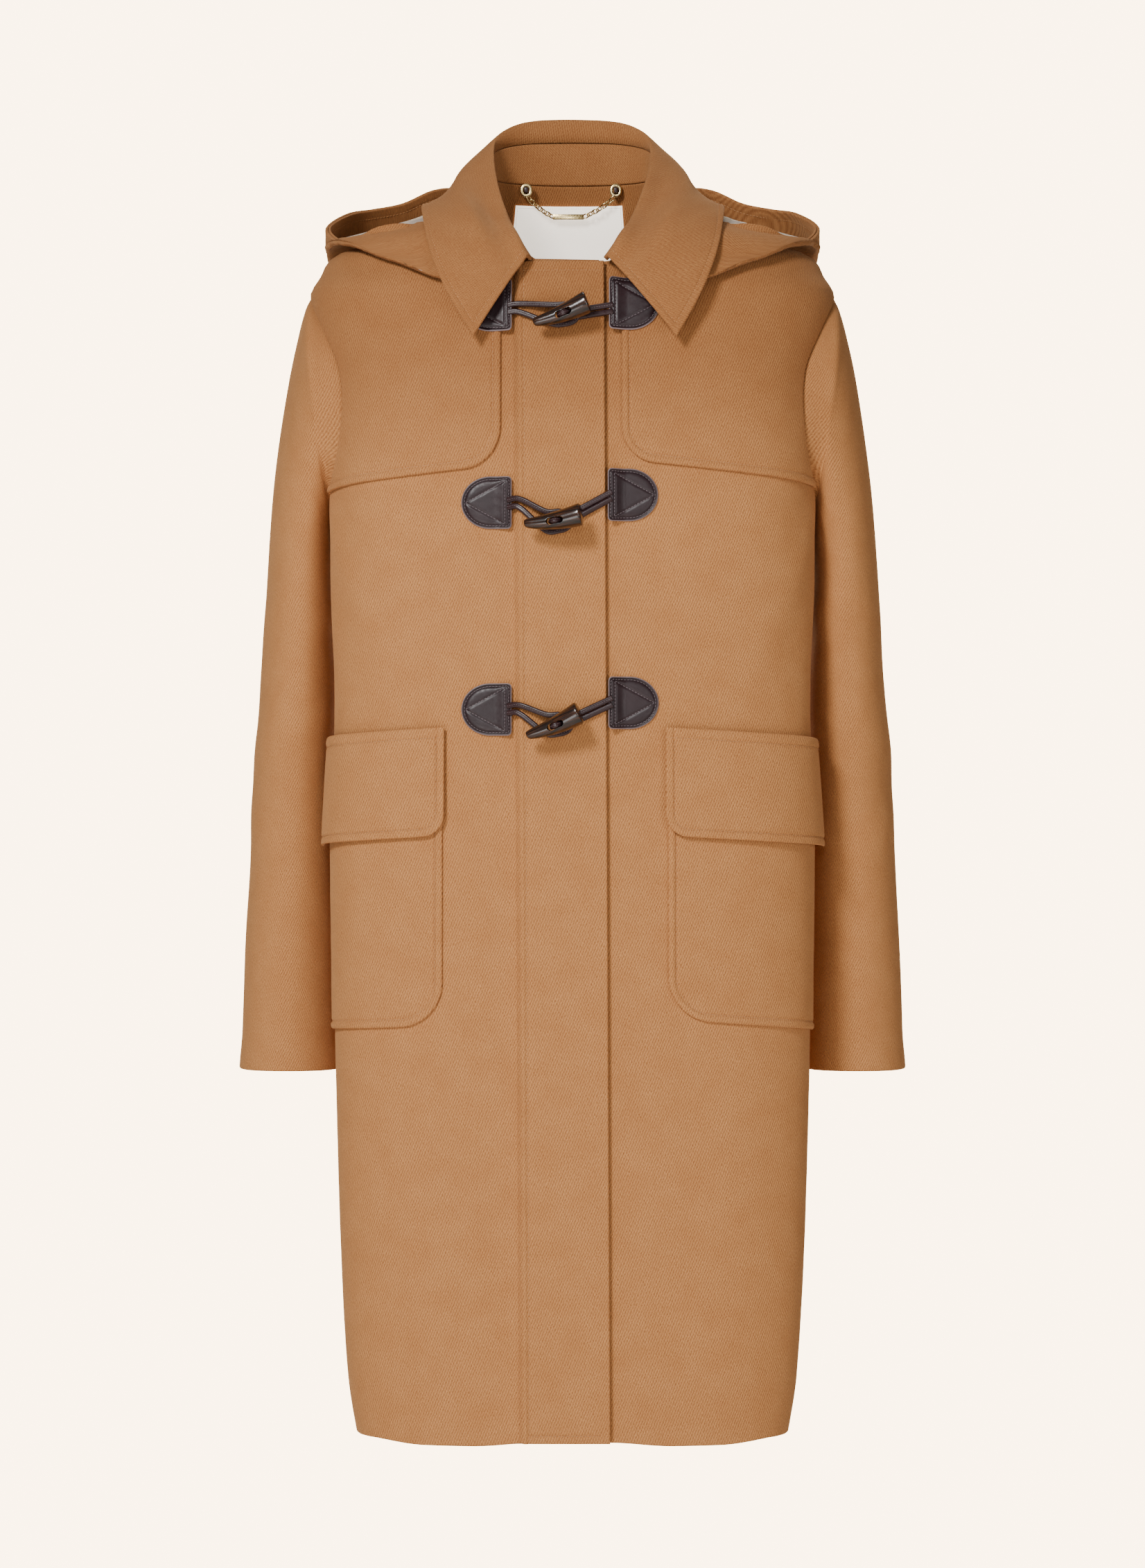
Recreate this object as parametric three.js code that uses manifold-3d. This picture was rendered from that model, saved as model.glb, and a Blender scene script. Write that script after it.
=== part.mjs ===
// A duffle coat in its worn shape, hollow, with its hood down and its toggles fastened.
// Millimetres, +Z up, front towards -Y. The origin is in the neck opening, level with the shoulders.
import * as THREE from "three";
import { mergeVertices } from "three/addons/utils/BufferGeometryUtils.js";
import Module from "manifold-3d";

const wool = 2.5;
const seamGap = 0.3;
const layGap = 0.7;
const overlayTop = layGap + wool;

// The body's level rings. Each is a rounded box: half width, foremost and rearmost y,
// the y of its widest line, and how square its front and back are.
const bodyLevels = [
  { z: -950, halfWidth: 165, front: -119, back: 112, widest: -42, frontPower: 3.0, backPower: 2.3 },
  { z: -905, halfWidth: 172, front: -120, back: 114, widest: -42, frontPower: 3.0, backPower: 2.3 },
  { z: -810, halfWidth: 178, front: -121, back: 116, widest: -42, frontPower: 2.9, backPower: 2.3 },
  { z: -660, halfWidth: 182, front: -122, back: 116, widest: -42, frontPower: 2.8, backPower: 2.2 },
  { z: -480, halfWidth: 184, front: -122, back: 112, widest: -40, frontPower: 2.7, backPower: 2.2 },
  { z: -370, halfWidth: 183, front: -121, back: 106, widest: -36, frontPower: 2.7, backPower: 2.2 },
  { z: -300, halfWidth: 182, front: -122, back: 108, widest: -30, frontPower: 2.7, backPower: 2.2 },
  { z: -235, halfWidth: 179, front: -123, back: 114, widest: -20, frontPower: 2.6, backPower: 2.3 },
  { z: -180, halfWidth: 178, front: -121, back: 114, widest: -12, frontPower: 2.6, backPower: 2.3 },
  { z: -120, halfWidth: 181, front: -115, back: 106, widest: -4, frontPower: 2.6, backPower: 2.4 },
  { z: -75, halfWidth: 187, front: -106, back: 94, widest: 2, frontPower: 2.5, backPower: 2.4 },
  { z: -42, halfWidth: 190, front: -93, back: 82, widest: 5, frontPower: 2.4, backPower: 2.4 },
  { z: -34, halfWidth: 158, front: -85, back: 77, widest: 5, frontPower: 2.3, backPower: 2.3 },
  { z: -22, halfWidth: 116, front: -72, back: 71, widest: 4, frontPower: 2.2, backPower: 2.2 },
  { z: -6, halfWidth: 84, front: -58, back: 64, widest: 3, frontPower: 2.1, backPower: 2.1 },
  { z: 24, halfWidth: 66, front: -36, back: 56, widest: 2, frontPower: 2.0, backPower: 2.0 },
];

const hemZ = -945;
const neckBackZ = 24;
const neckFrontZ = -53;

// The neckline's half width in front, from the placket's top edge up to the shoulder seam.
const neckline = [
  { z: -53, halfWidth: 27 },
  { z: -42, halfWidth: 41 },
  { z: -25, halfWidth: 53 },
  { z: -5, halfWidth: 61 },
  { z: 12, halfWidth: 65 },
  { z: 24, halfWidth: 66 },
];

// The armhole is an upright oval cut out of the side.
const armhole = { topZ: -42, bottomZ: -235, frontCut: 66, backCut: 62, steps: 8 };

// The sleeve's sections: outermost and innermost points, the middle's y and the depth.
const sleeveSections = [
  { outerX: 201, outerZ: -55, innerX: 183, innerZ: -239, middle: -2, depth: 141 },
  { outerX: 211, outerZ: -83, innerX: 184, innerZ: -246, middle: 4, depth: 147 },
  { outerX: 221, outerZ: -128, innerX: 184, innerZ: -258, middle: 10, depth: 149 },
  { outerX: 229, outerZ: -182, innerX: 184, innerZ: -278, middle: 16, depth: 148 },
  { outerX: 236, outerZ: -245, innerX: 184, innerZ: -315, middle: 21, depth: 145 },
  { outerX: 243, outerZ: -330, innerX: 184, innerZ: -375, middle: 29, depth: 138 },
  { outerX: 250, outerZ: -430, innerX: 184, innerZ: -455, middle: 35, depth: 130 },
  { outerX: 256, outerZ: -530, innerX: 183, innerZ: -542, middle: 38, depth: 122 },
  { outerX: 260, outerZ: -615, innerX: 182, innerZ: -620, middle: 39, depth: 115 },
  { outerX: 262, outerZ: -672, innerX: 181, innerZ: -672, middle: 39, depth: 110 },
];
const sleeve = { sides: 16, squareness: 2.3, seatGap: 0.8 };

// The front edges: the left front runs under, the right front laps over it.
const lap = {
  underEdge: -18, underTop: 22, overEdge: -20, rampFrom: -46, rampTo: -32, step: overlayTop,
  splitAt: 47, splitShare: 0.24,
};
const outerColumns = [0.24, 0.37, 0.48, 0.57, 0.65, 0.72, 0.79, 0.86, 0.93, 1];
const underColumns = [0, 0.12, ...outerColumns];
const overColumns = [0, 0.143, 0.186, ...outerColumns];
const placket = { left: -45, right: 23.7, hemShift: 4.6, topZ: -56, gap: 1.1 };

// The two yokes' lower edges, by distance round the front from the middle.
const yokes = [
  { side: -1, name: "yoke_right", inner: 54, bottomInner: -209, bottomOuter: -226, corner: 30 },
  { side: 1, name: "yoke_left", inner: 37, bottomInner: -205, bottomOuter: -222, corner: 26 },
];

const pockets = [
  { side: -1, name: "right", inner: 98, width: 144, bottomZ: -631, outerDrop: 7 },
  { side: 1, name: "left", inner: 72, width: 150, bottomZ: -626, outerDrop: 12 },
];
const pocketTopZ = -416;
const pocketCorner = 32;
const flap = { topZ: -406, outerTopDrop: 9, height: 82, outerDrop: 9, corner: 16, flare: 5 };

// The collar, by the share of the way from the middle of the back (0) to the front end (1).
const rollLine = [
  { at: 0, x: 0, y: 57, z: 74 },
  { at: 0.2, x: 34, y: 51, z: 71 },
  { at: 0.4, x: 57, y: 28, z: 58 },
  { at: 0.55, x: 61, y: -2, z: 41 },
  { at: 0.7, x: 57, y: -40, z: 15 },
  { at: 0.85, x: 45, y: -79, z: -20 },
  { at: 1, x: 27, y: -107, z: -51 },
];
const collarEdge = [
  { at: 0, x: 0, y: 108, z: 16 },
  { at: 0.2, x: 62, y: 95, z: 13 },
  { at: 0.4, x: 101, y: 56, z: 5 },
  { at: 0.55, x: 111, y: 5, z: -9 },
  { at: 0.7, x: 109, y: -55, z: -39 },
  { at: 0.85, x: 98, y: -103, z: -75 },
  { at: 1, x: 76, y: -126, z: -114 },
];
const collar = {
  columns: 36, standThick: 3, fallThick: 3.2, standShare: 0.62, bulge: 7,
  clearance: 22.8, tipClearance: 19, rollShift: -4, tipShift: 2,
  middleY: -15, bulgeOut: 0.6, bulgeUp: 0.8, tipBulge: 0.3, tuck: 0.96, standReach: 0.9,
};
const tipPart = { from: 0.84, to: 1 };
const frontPart = { from: 0.78, to: 0.94, share: 0.95 };
const rollPart = 0.4;

// The hood lies on the shoulders and hangs behind as an open bag. These lines run round it
// from the middle of the back (0) to the front end (1).
const hoodNeck = [
  { at: 0, x: 0, y: 66, z: 27 },
  { at: 0.25, x: 42, y: 57, z: 27 },
  { at: 0.42, x: 68, y: 30, z: 24 },
  { at: 0.55, x: 76, y: 0, z: 17 },
  { at: 0.7, x: 74, y: -40, z: -8 },
  { at: 0.85, x: 60, y: -82, z: -38 },
  { at: 1, x: 46, y: -102, z: -58 },
];
const hoodFloor = [
  { at: 0, x: 0, y: 108, z: -55 },
  { at: 0.25, x: 72, y: 96, z: -42 },
  { at: 0.42, x: 112, y: 66, z: -24 },
  { at: 0.55, x: 116, y: 8, z: -16 },
  { at: 0.7, x: 106, y: -44, z: -34 },
  { at: 0.85, x: 82, y: -86, z: -54 },
  { at: 1, x: 52, y: -104, z: -64 },
];
const hoodBottom = [
  { at: 0, x: 0, y: 134, z: -212 },
  { at: 0.25, x: 96, y: 124, z: -184 },
  { at: 0.42, x: 158, y: 88, z: -76 },
  { at: 0.55, x: 158, y: 14, z: -22 },
  { at: 0.7, x: 137, y: -50, z: -38 },
  { at: 0.85, x: 100, y: -90, z: -61 },
  { at: 1, x: 58, y: -105, z: -69 },
];
const hoodOuter = [
  { at: 0, x: 0, y: 176, z: -128 },
  { at: 0.25, x: 112, y: 158, z: -100 },
  { at: 0.42, x: 186, y: 92, z: -42 },
  { at: 0.55, x: 188, y: 20, z: -33 },
  { at: 0.7, x: 160, y: -54, z: -42 },
  { at: 0.85, x: 112, y: -92, z: -66 },
  { at: 1, x: 62, y: -106, z: -74 },
];
const hoodRim = [
  { at: 0, x: 0, y: 156, z: -24 },
  { at: 0.25, x: 106, y: 126, z: -4 },
  { at: 0.42, x: 176, y: 72, z: 2 },
  { at: 0.55, x: 197, y: 14, z: -16 },
  { at: 0.7, x: 182, y: -50, z: -44 },
  { at: 0.85, x: 124, y: -94, z: -71 },
  { at: 1, x: 66, y: -107, z: -78 },
];
const hood = { columns: 34, rows: 10, thick: 2.4, liningThick: 1, facingRow: 7, clearance: 10.9 };
const hoodShoulder = { at: 0.5, spread: 0.12, extra: 4 };

const leather = { thick: 1.8, width: 38, height: 39.5, straightShare: 0.42, edgeRamp: 14 };
const thong = { width: 4.4, sides: 8 };

// The three fastenings, from the top. The patch heights, the two thongs' heights, and the
// toggle's two ends as seen from the front.
const fastenings = [
  {
    name: "top", loopPatchZ: -89, togglePatchZ: -88, loopZ: -92, toggleCordZ: -92,
    tipX: -29.4, tipZ: -108, fatX: 12, fatZ: -93, onYoke: true, togglePatchX: 27.4,
  },
  {
    name: "middle", loopPatchZ: -237.6, togglePatchZ: -231.8, loopZ: -238.4, toggleCordZ: -232.4,
    tipX: -36, tipZ: -254.2, fatX: 6.2, fatZ: -247.6, onYoke: false, togglePatchX: 26.4,
  },
  {
    name: "bottom", loopPatchZ: -393, togglePatchZ: -388, loopZ: -393, toggleCordZ: -387,
    tipX: -34, tipZ: -413.2, fatX: 6, fatZ: -395.4, onYoke: false, togglePatchX: 26.8,
  },
];
const loopPatchX = -45.6;
const toggle = {
  length: 44, slotAt: 24, slotLength: 10.6, slotWidth: 5.8, bend: 1.6, sides: 12,
  tipLift: 22.6, fatLift: 29,
};
const toggleProfile = [
  { along: 0, radius: 0 },
  { along: 0, radius: 2.2 },
  { along: 1.2, radius: 3.1 },
  { along: 8, radius: 4.3 },
  { along: 17, radius: 5.7 },
  { along: 27, radius: 7.0 },
  { along: 37, radius: 8.1 },
  { along: 42.4, radius: 8.5 },
  { along: 44, radius: 7.6 },
  { along: 44, radius: 0 },
];

const facing = { halfWidth: 78, topZ: 23.6, bottomZ: -78, thick: 1.5, gap: 0.8 };
const label = { left: -50, right: 43, topZ: 9, bottomZ: -47, thick: 0.7 };
const hanger = {
  leftX: -40.8, rightX: 38, z: 18.4, height: 10.5, width: 8, thick: 1.4, hole: 2, standOff: 8.4,
  plateLeft: -15.6, plateRight: 9, plateZ: -1.2, plateHeight: 4.3, plateThick: 1, links: 7,
  chainDrop: 6.35, chainInward: 1, sag: 3.5,
};

const colours = {
  wool: 0xb9875a, lining: 0xbfa78c, leather: 0x3a2624, horn: 0x33200f, brass: 0xb9a06a, label: 0xece8df,
};

function cloth(colour) {
  return new THREE.MeshStandardMaterial({ color: colour, roughness: 0.95, metalness: 0 });
}

function glossy(colour, roughness, metalness) {
  return new THREE.MeshStandardMaterial({ color: colour, roughness, metalness });
}

// Reads one column of a table smoothly: a cubic between rows, with the mean slope at each row.
function readColumn(rows, by, column) {
  const xs = rows.map((row) => row[by]);
  const ys = rows.map((row) => row[column]);
  const last = rows.length - 1;
  const slopes = ys.map((unused, i) => {
    const from = Math.max(i - 1, 0);
    const to = Math.min(i + 1, last);
    return (ys[to] - ys[from]) / (xs[to] - xs[from]);
  });
  return (at) => {
    const x = THREE.MathUtils.clamp(at, xs[0], xs[last]);
    let i = 0;
    while (i < last - 1 && x > xs[i + 1]) i += 1;
    const span = xs[i + 1] - xs[i];
    const t = (x - xs[i]) / span;
    const keep = 1 - t;
    const start = ys[i] * (1 + 2 * t) * keep * keep + slopes[i] * span * t * keep * keep;
    const end = ys[i + 1] * (1 + 2 * keep) * t * t - slopes[i + 1] * span * keep * t * t;
    return start + end;
  };
}

const levelOf = {};
for (const name of ["halfWidth", "front", "back", "widest", "frontPower", "backPower"]) {
  levelOf[name] = readColumn(bodyLevels, "z", name);
}
const necklineHalfWidth = readColumn(neckline, "z", "halfWidth");

// Half of the ring at a height, from the middle of the front to the middle of the back,
// with the distance walked to each of its points.
const ringSteps = 72;
const rings = new Map();
function halfRing(z) {
  const key = z.toFixed(3);
  if (rings.has(key)) return rings.get(key);
  const halfWidth = levelOf.halfWidth(z);
  const widest = levelOf.widest(z);
  const points = [];
  for (let i = 0; i <= ringSteps; i += 1) {
    const turn = (Math.PI * i) / ringSteps;
    const inFront = i <= ringSteps / 2;
    const power = 2 / (inFront ? levelOf.frontPower(z) : levelOf.backPower(z));
    const reach = inFront ? levelOf.front(z) - widest : levelOf.back(z) - widest;
    const across = Math.max(Math.sin(turn), 0);
    points.push({
      x: halfWidth * across ** power,
      y: widest + reach * Math.abs(Math.cos(turn)) ** power,
      walked: 0,
    });
  }
  for (let i = 1; i <= ringSteps; i += 1) {
    const step = Math.hypot(points[i].x - points[i - 1].x, points[i].y - points[i - 1].y);
    points[i].walked = points[i - 1].walked + step;
  }
  const ring = { points, side: points[ringSteps / 2].walked, whole: points[ringSteps].walked };
  rings.set(key, ring);
  return ring;
}

// The point at a signed distance round the body from the middle of the front.
function onRing(round, z) {
  const { points, whole } = halfRing(z);
  const away = THREE.MathUtils.clamp(Math.abs(round), 0, whole);
  let i = 1;
  while (i < ringSteps && points[i].walked < away) i += 1;
  const [from, to] = [points[i - 1], points[i]];
  const share = (away - from.walked) / (to.walked - from.walked);
  const x = from.x + (to.x - from.x) * share;
  const y = from.y + (to.y - from.y) * share;
  return new THREE.Vector3(round < 0 ? -x : x, y, z);
}

// The same point lifted off the cloth along the body's own normal.
const probe = 3;
function bodyAt(round, z, lift = 0) {
  const point = onRing(round, z);
  if (lift === 0) return point;
  const { whole } = halfRing(z);
  const near = THREE.MathUtils.clamp(Math.abs(round), probe, whole - probe);
  const sign = round < 0 ? -1 : 1;
  const along = onRing(sign * near + probe, z).sub(onRing(sign * near - probe, z));
  const up = onRing(sign * near, z + probe).sub(onRing(sign * near, z - probe));
  const normal = along.cross(up).normalize();
  if (Math.abs(round) < probe || Math.abs(round) > whole - probe) {
    normal.x = 0;
    normal.normalize();
  }
  return point.addScaledVector(normal, lift);
}

// A place on the back, by its signed distance from the middle of the back.
function backAt(fromBack, z, lift = 0) {
  const { whole } = halfRing(z);
  const side = fromBack < 0 ? -1 : 1;
  return bodyAt(side * (whole - Math.abs(fromBack)), z, lift);
}

function roundAtX(x, z) {
  const { points } = halfRing(z);
  const wanted = Math.abs(x);
  let i = 1;
  while (i < ringSteps / 2 && points[i].x < wanted) i += 1;
  const [from, to] = [points[i - 1], points[i]];
  const share = THREE.MathUtils.clamp((wanted - from.x) / (to.x - from.x), 0, 1);
  return Math.sign(x) * (from.walked + (to.walked - from.walked) * share);
}

function frontAt(x, z, lift = 0) {
  return bodyAt(roundAtX(x, z), z, lift);
}

// How far out a point is at its height: 1 on the body's ring, less inside it.
function ringShare(point) {
  const dy = point.y - levelOf.widest(point.z);
  const inFront = dy < 0;
  const reach = Math.abs((inFront ? levelOf.front : levelOf.back)(point.z) - levelOf.widest(point.z));
  const power = (inFront ? levelOf.frontPower : levelOf.backPower)(point.z);
  const halfWidth = levelOf.halfWidth(point.z);
  return ((Math.abs(point.x) / halfWidth) ** power + (Math.abs(dy) / reach) ** power) ** (1 / power);
}

// The body's normal under a point near it, by how the ring share changes.
function bodyNormal(point) {
  const change = new THREE.Vector3();
  for (const axis of ["x", "y", "z"]) {
    const ahead = point.clone();
    const behind = point.clone();
    ahead[axis] += 1;
    behind[axis] -= 1;
    change[axis] = (ringShare(ahead) - ringShare(behind)) / 2;
  }
  return change;
}

// Moves a point out along the normal of the nearest cloth until it stands clear of it.
function standClear(point, clearance) {
  const foot = point.clone();
  for (let i = 0; i < 8; i += 1) {
    const slope = bodyNormal(foot);
    foot.addScaledVector(slope, (1 - ringShare(foot)) / slope.lengthSq());
  }
  const normal = bodyNormal(foot).normalize();
  const away = point.clone().sub(foot).dot(normal);
  return point.clone().addScaledVector(normal, Math.max(clearance - away, 0));
}

function smoothStep(value, from, to) {
  return THREE.MathUtils.smoothstep(value, from, to);
}

// Rows of points worked out from a row's and a column's share of the way, 0 to 1.
function grid(rowShares, columnShares, place) {
  return rowShares.map((row) => columnShares.map((column) => place(row, column)));
}

function shares(count, from = 0, to = 1) {
  return Array.from({ length: count + 1 }, (unused, i) => from + ((to - from) * i) / count);
}

// A closed geometry from vertices and triangles, turned so that its faces point out.
function closedGeometry(points, triangles) {
  let volume = 0;
  for (const [a, b, c] of triangles) {
    volume += points[a].dot(points[b].clone().cross(points[c]));
  }
  const index = triangles.flatMap(([a, b, c]) => (volume < 0 ? [a, c, b] : [a, b, c]));
  const geometry = new THREE.BufferGeometry();
  geometry.setFromPoints(points);
  geometry.setIndex(index);
  geometry.computeVertexNormals();
  return geometry;
}

// A wall between an outer and an inner grid, shut along its edges. A wrapped wall is a tube.
function wall(outer, inner, wrapped = false) {
  const rows = outer.length;
  const columns = outer[0].length;
  const points = [...outer.flat(), ...inner.flat()];
  const under = rows * columns;
  const at = (row, column) => row * columns + (column % columns);
  const triangles = [];
  const quad = (a, b, c, d) => triangles.push([a, b, c], [a, c, d]);
  const spans = wrapped ? columns : columns - 1;
  for (let r = 0; r < rows - 1; r += 1) {
    for (let c = 0; c < spans; c += 1) {
      const [a, b, d, e] = [at(r, c), at(r, c + 1), at(r + 1, c + 1), at(r + 1, c)];
      quad(a, b, d, e);
      quad(a + under, e + under, d + under, b + under);
    }
  }
  for (let c = 0; c < spans; c += 1) {
    quad(at(0, c + 1), at(0, c), at(0, c) + under, at(0, c + 1) + under);
    quad(at(rows - 1, c), at(rows - 1, c + 1), at(rows - 1, c + 1) + under, at(rows - 1, c) + under);
  }
  for (let r = 0; r < rows - 1 && !wrapped; r += 1) {
    quad(at(r, 0), at(r + 1, 0), at(r + 1, 0) + under, at(r, 0) + under);
    quad(
      at(r + 1, columns - 1), at(r, columns - 1),
      at(r, columns - 1) + under, at(r + 1, columns - 1) + under,
    );
  }
  return closedGeometry(points, triangles);
}

// The same grid moved along its own normals.
function offsetGrid(points, distance) {
  const rows = points.length;
  const columns = points[0].length;
  return points.map((line, r) => line.map((point, c) => {
    const across = line[Math.min(c + 1, columns - 1)].clone().sub(line[Math.max(c - 1, 0)]);
    const before = points[Math.max(r - 1, 0)][c];
    const along = points[Math.min(r + 1, rows - 1)][c].clone().sub(before);
    return point.clone().addScaledVector(across.cross(along).normalize(), distance);
  }));
}

const coat = new THREE.Group();
coat.name = "duffle_coat";

function addPiece(name, geometry, material) {
  const mesh = new THREE.Mesh(geometry, material);
  mesh.name = name;
  coat.add(mesh);
}

// Heights of a panel's rows: even ones below the armhole, and the armhole's own above.
const armholeMiddle = (armhole.topZ + armhole.bottomZ) / 2;
const armholeHalf = (armhole.topZ - armhole.bottomZ) / 2;
const lowerRows = [hemZ, -890, -830, -740, -640, -540, -450, -380, -320, -278, -250];
const armholeRows = shares(armhole.steps, Math.PI, 0).map(
  (turn) => armholeMiddle + armholeHalf * Math.cos(turn),
);
const shoulderRows = [-38, -33, -26, -14, 0, 13];

function armholeCut(z, cut) {
  const height = (z - armholeMiddle) / armholeHalf;
  return Math.abs(height) >= 1 ? 0 : cut * Math.sqrt(1 - height * height);
}

function frontEdge(z) {
  return halfRing(z).side - armholeCut(z, armhole.frontCut) - seamGap / 2;
}

function backEdge(z) {
  const { whole, side } = halfRing(z);
  return whole - side - armholeCut(z, armhole.backCut) - seamGap / 2;
}

// A front goes from its own edge at the middle to the side, armhole and shoulder seams.
function frontPanel(side, middleEdge, topEdge, columns, liftAt) {
  const neckRows = armholeRows.filter((z) => z > neckFrontZ);
  const openRows = armholeRows.filter((z) => z <= neckFrontZ - 3);
  const heights = [
    ...lowerRows, ...openRows, neckFrontZ - 3, neckFrontZ, ...neckRows, ...shoulderRows, neckBackZ - 2,
  ];
  const startAt = (z) => {
    if (z > neckFrontZ) return roundAtX(necklineHalfWidth(z), z);
    return z === neckFrontZ ? topEdge : middleEdge;
  };
  const place = (z, column, lift) => {
    const start = startAt(z);
    const split = Math.max(lap.splitAt, start + 6);
    const share = column / lap.splitShare;
    const beyond = (column - lap.splitShare) / (1 - lap.splitShare);
    const round = share < 1
      ? start + (split - start) * share
      : split + (frontEdge(z) - split) * beyond;
    return bodyAt(side * round, z, liftAt(side * round) + lift);
  };
  return wall(
    grid(heights, columns, (z, column) => place(z, column, 0)),
    grid(heights, columns, (z, column) => place(z, column, -wool)),
  );
}

function lapLift(x) {
  return lap.step * smoothStep(x, lap.rampFrom, lap.rampTo);
}

// How far the placket's lean has moved it at a height.
function lean(z) {
  return (placket.hemShift * (neckFrontZ - z)) / (neckFrontZ - hemZ);
}

const frontLeft = frontPanel(1, lap.underEdge, lap.underTop, underColumns, () => 0);
const frontRight = frontPanel(-1, lap.overEdge, lap.overEdge, overColumns, lapLift);
addPiece("front_left", frontLeft, cloth(colours.wool));
addPiece("front_right", frontRight, cloth(colours.wool));

function backPanel() {
  const heights = [...lowerRows, ...armholeRows, ...shoulderRows, neckBackZ];
  const columns = shares(14, -1, 1);
  const place = (z, column, lift) => backAt(backEdge(z) * column, z, lift);
  return wall(
    grid(heights, columns, (z, column) => place(z, column, 0)),
    grid(heights, columns, (z, column) => place(z, column, -wool)),
  );
}
addPiece("back_panel", backPanel(), cloth(colours.wool));

function placketStrip() {
  const heights = [hemZ, -850, -750, -650, -550, -450, -350, -250, -180, -120, -80, placket.topZ];
  const columns = [0, 0.12, 0.24, 0.6, 1];
  const place = (z, column, lift) => {
    const x = placket.left + (placket.right - placket.left) * column;
    return frontAt(x + lean(z), z, lapLift(x + lean(z)) + lift);
  };
  return wall(
    grid(heights, columns, (z, column) => place(z, column, placket.gap + wool)),
    grid(heights, columns, (z, column) => place(z, column, placket.gap)),
  );
}
addPiece("front_placket", placketStrip(), cloth(colours.wool));

// How far a rounded corner lifts a lower edge, at a distance in from the side edge.
function cornerRise(inward, radius) {
  const left = Math.max(radius - inward, 0);
  return radius - Math.sqrt(radius * radius - left * left);
}

function yokePanel({ side, inner, bottomInner, bottomOuter, corner }) {
  const heights = [-200, ...armholeRows.slice(3), neckFrontZ - 3, neckFrontZ, ...shoulderRows];
  heights.sort((a, b) => a - b);
  const columns = [0, 0.05, 0.12, 0.21, 0.31, 0.41, 0.51, 0.6, 0.69, 0.77, 0.85, 0.93, 1];
  const yokeGap = layGap + 0.8;
  const armholeMargin = 4;
  const neckMargin = 8;
  const foot = heights[0];
  const settle = -150;
  const place = (height, column, lift) => {
    const bottom = bottomInner + (bottomOuter - bottomInner) * column;
    const width = frontEdge(bottomOuter) - inner;
    const lowest = bottom + cornerRise(width * column, corner);
    const share = smoothStep(height, foot, settle);
    const z = height < settle ? lowest + (settle - lowest) * share : height;
    const neck = z > neckFrontZ ? roundAtX(necklineHalfWidth(z), z) + neckMargin : 0;
    const start = Math.max(inner, neck);
    const round = start + (frontEdge(z) - armholeMargin - start) * column;
    return bodyAt(side * round, z, lift);
  };
  return wall(
    grid(heights, columns, (z, column) => place(z, column, yokeGap + wool)),
    grid(heights, columns, (z, column) => place(z, column, yokeGap)),
  );
}
for (const yoke of yokes) {
  addPiece(yoke.name, yokePanel(yoke), cloth(colours.wool));
}

function armholePoint(side, turn) {
  const z = armholeMiddle + armholeHalf * Math.cos(turn);
  const cut = Math.sin(turn) * (Math.sin(turn) > 0 ? armhole.frontCut : armhole.backCut);
  const point = bodyAt(halfRing(z).side - cut, z);
  return point.multiply(new THREE.Vector3(side, 1, 1));
}

function squareTurn(value, power) {
  return Math.sign(value) * Math.abs(value) ** (2 / power);
}

// A sleeve starts on the armhole's edge and runs through its sections to the cuff.
function sleeveTube(side) {
  const turns = shares(sleeve.sides).slice(0, -1).map((share) => share * 2 * Math.PI);
  const first = turns.map((turn) => {
    const point = armholePoint(side, turn);
    point.x += side * sleeve.seatGap;
    return point;
  });
  const middle = bodyAt(halfRing(armholeMiddle).side, armholeMiddle);
  const firstInner = first.map((point) => {
    const inward = new THREE.Vector3(0, middle.y - point.y, middle.z - point.z);
    return point.clone().addScaledVector(inward.normalize(), wool);
  });
  const section = (row, inset) => turns.map((turn) => {
    const { outerX, outerZ, innerX, innerZ, depth } = row;
    const reach = Math.hypot(outerX - innerX, outerZ - innerZ) / 2;
    const across = squareTurn(Math.cos(turn), sleeve.squareness) * (1 - inset / reach);
    const x = (outerX + innerX) / 2 + ((outerX - innerX) / 2) * across;
    const z = (outerZ + innerZ) / 2 + ((outerZ - innerZ) / 2) * across;
    const y = row.middle - squareTurn(Math.sin(turn), sleeve.squareness) * (depth / 2 - inset);
    return new THREE.Vector3(side * x, y, z);
  });
  return wall(
    [first, ...sleeveSections.map((row) => section(row, 0))],
    [firstInner, ...sleeveSections.map((row) => section(row, wool))],
    true,
  );
}
addPiece("sleeve_right", sleeveTube(-1), cloth(colours.wool));
addPiece("sleeve_left", sleeveTube(1), cloth(colours.wool));

// A pocket and its flap lie on the body's own points, moved out.
function pocketPatch({ side, inner, width, bottomZ, outerDrop }) {
  const rows = shares(6);
  const columns = [0, 0.06, 0.13, 0.22, 0.35, 0.46, 0.56, 0.65, 0.74, 0.83, 0.92, 1];
  const place = (row, column, lift) => {
    const bottom = bottomZ - outerDrop * column + cornerRise(width * column, pocketCorner);
    const z = bottom + (pocketTopZ - bottom) * row;
    return bodyAt(side * (inner + width * column), z, lift);
  };
  return wall(
    grid(rows, columns, (row, column) => place(row, column, overlayTop)),
    grid(rows, columns, (row, column) => place(row, column, layGap)),
  );
}

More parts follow.
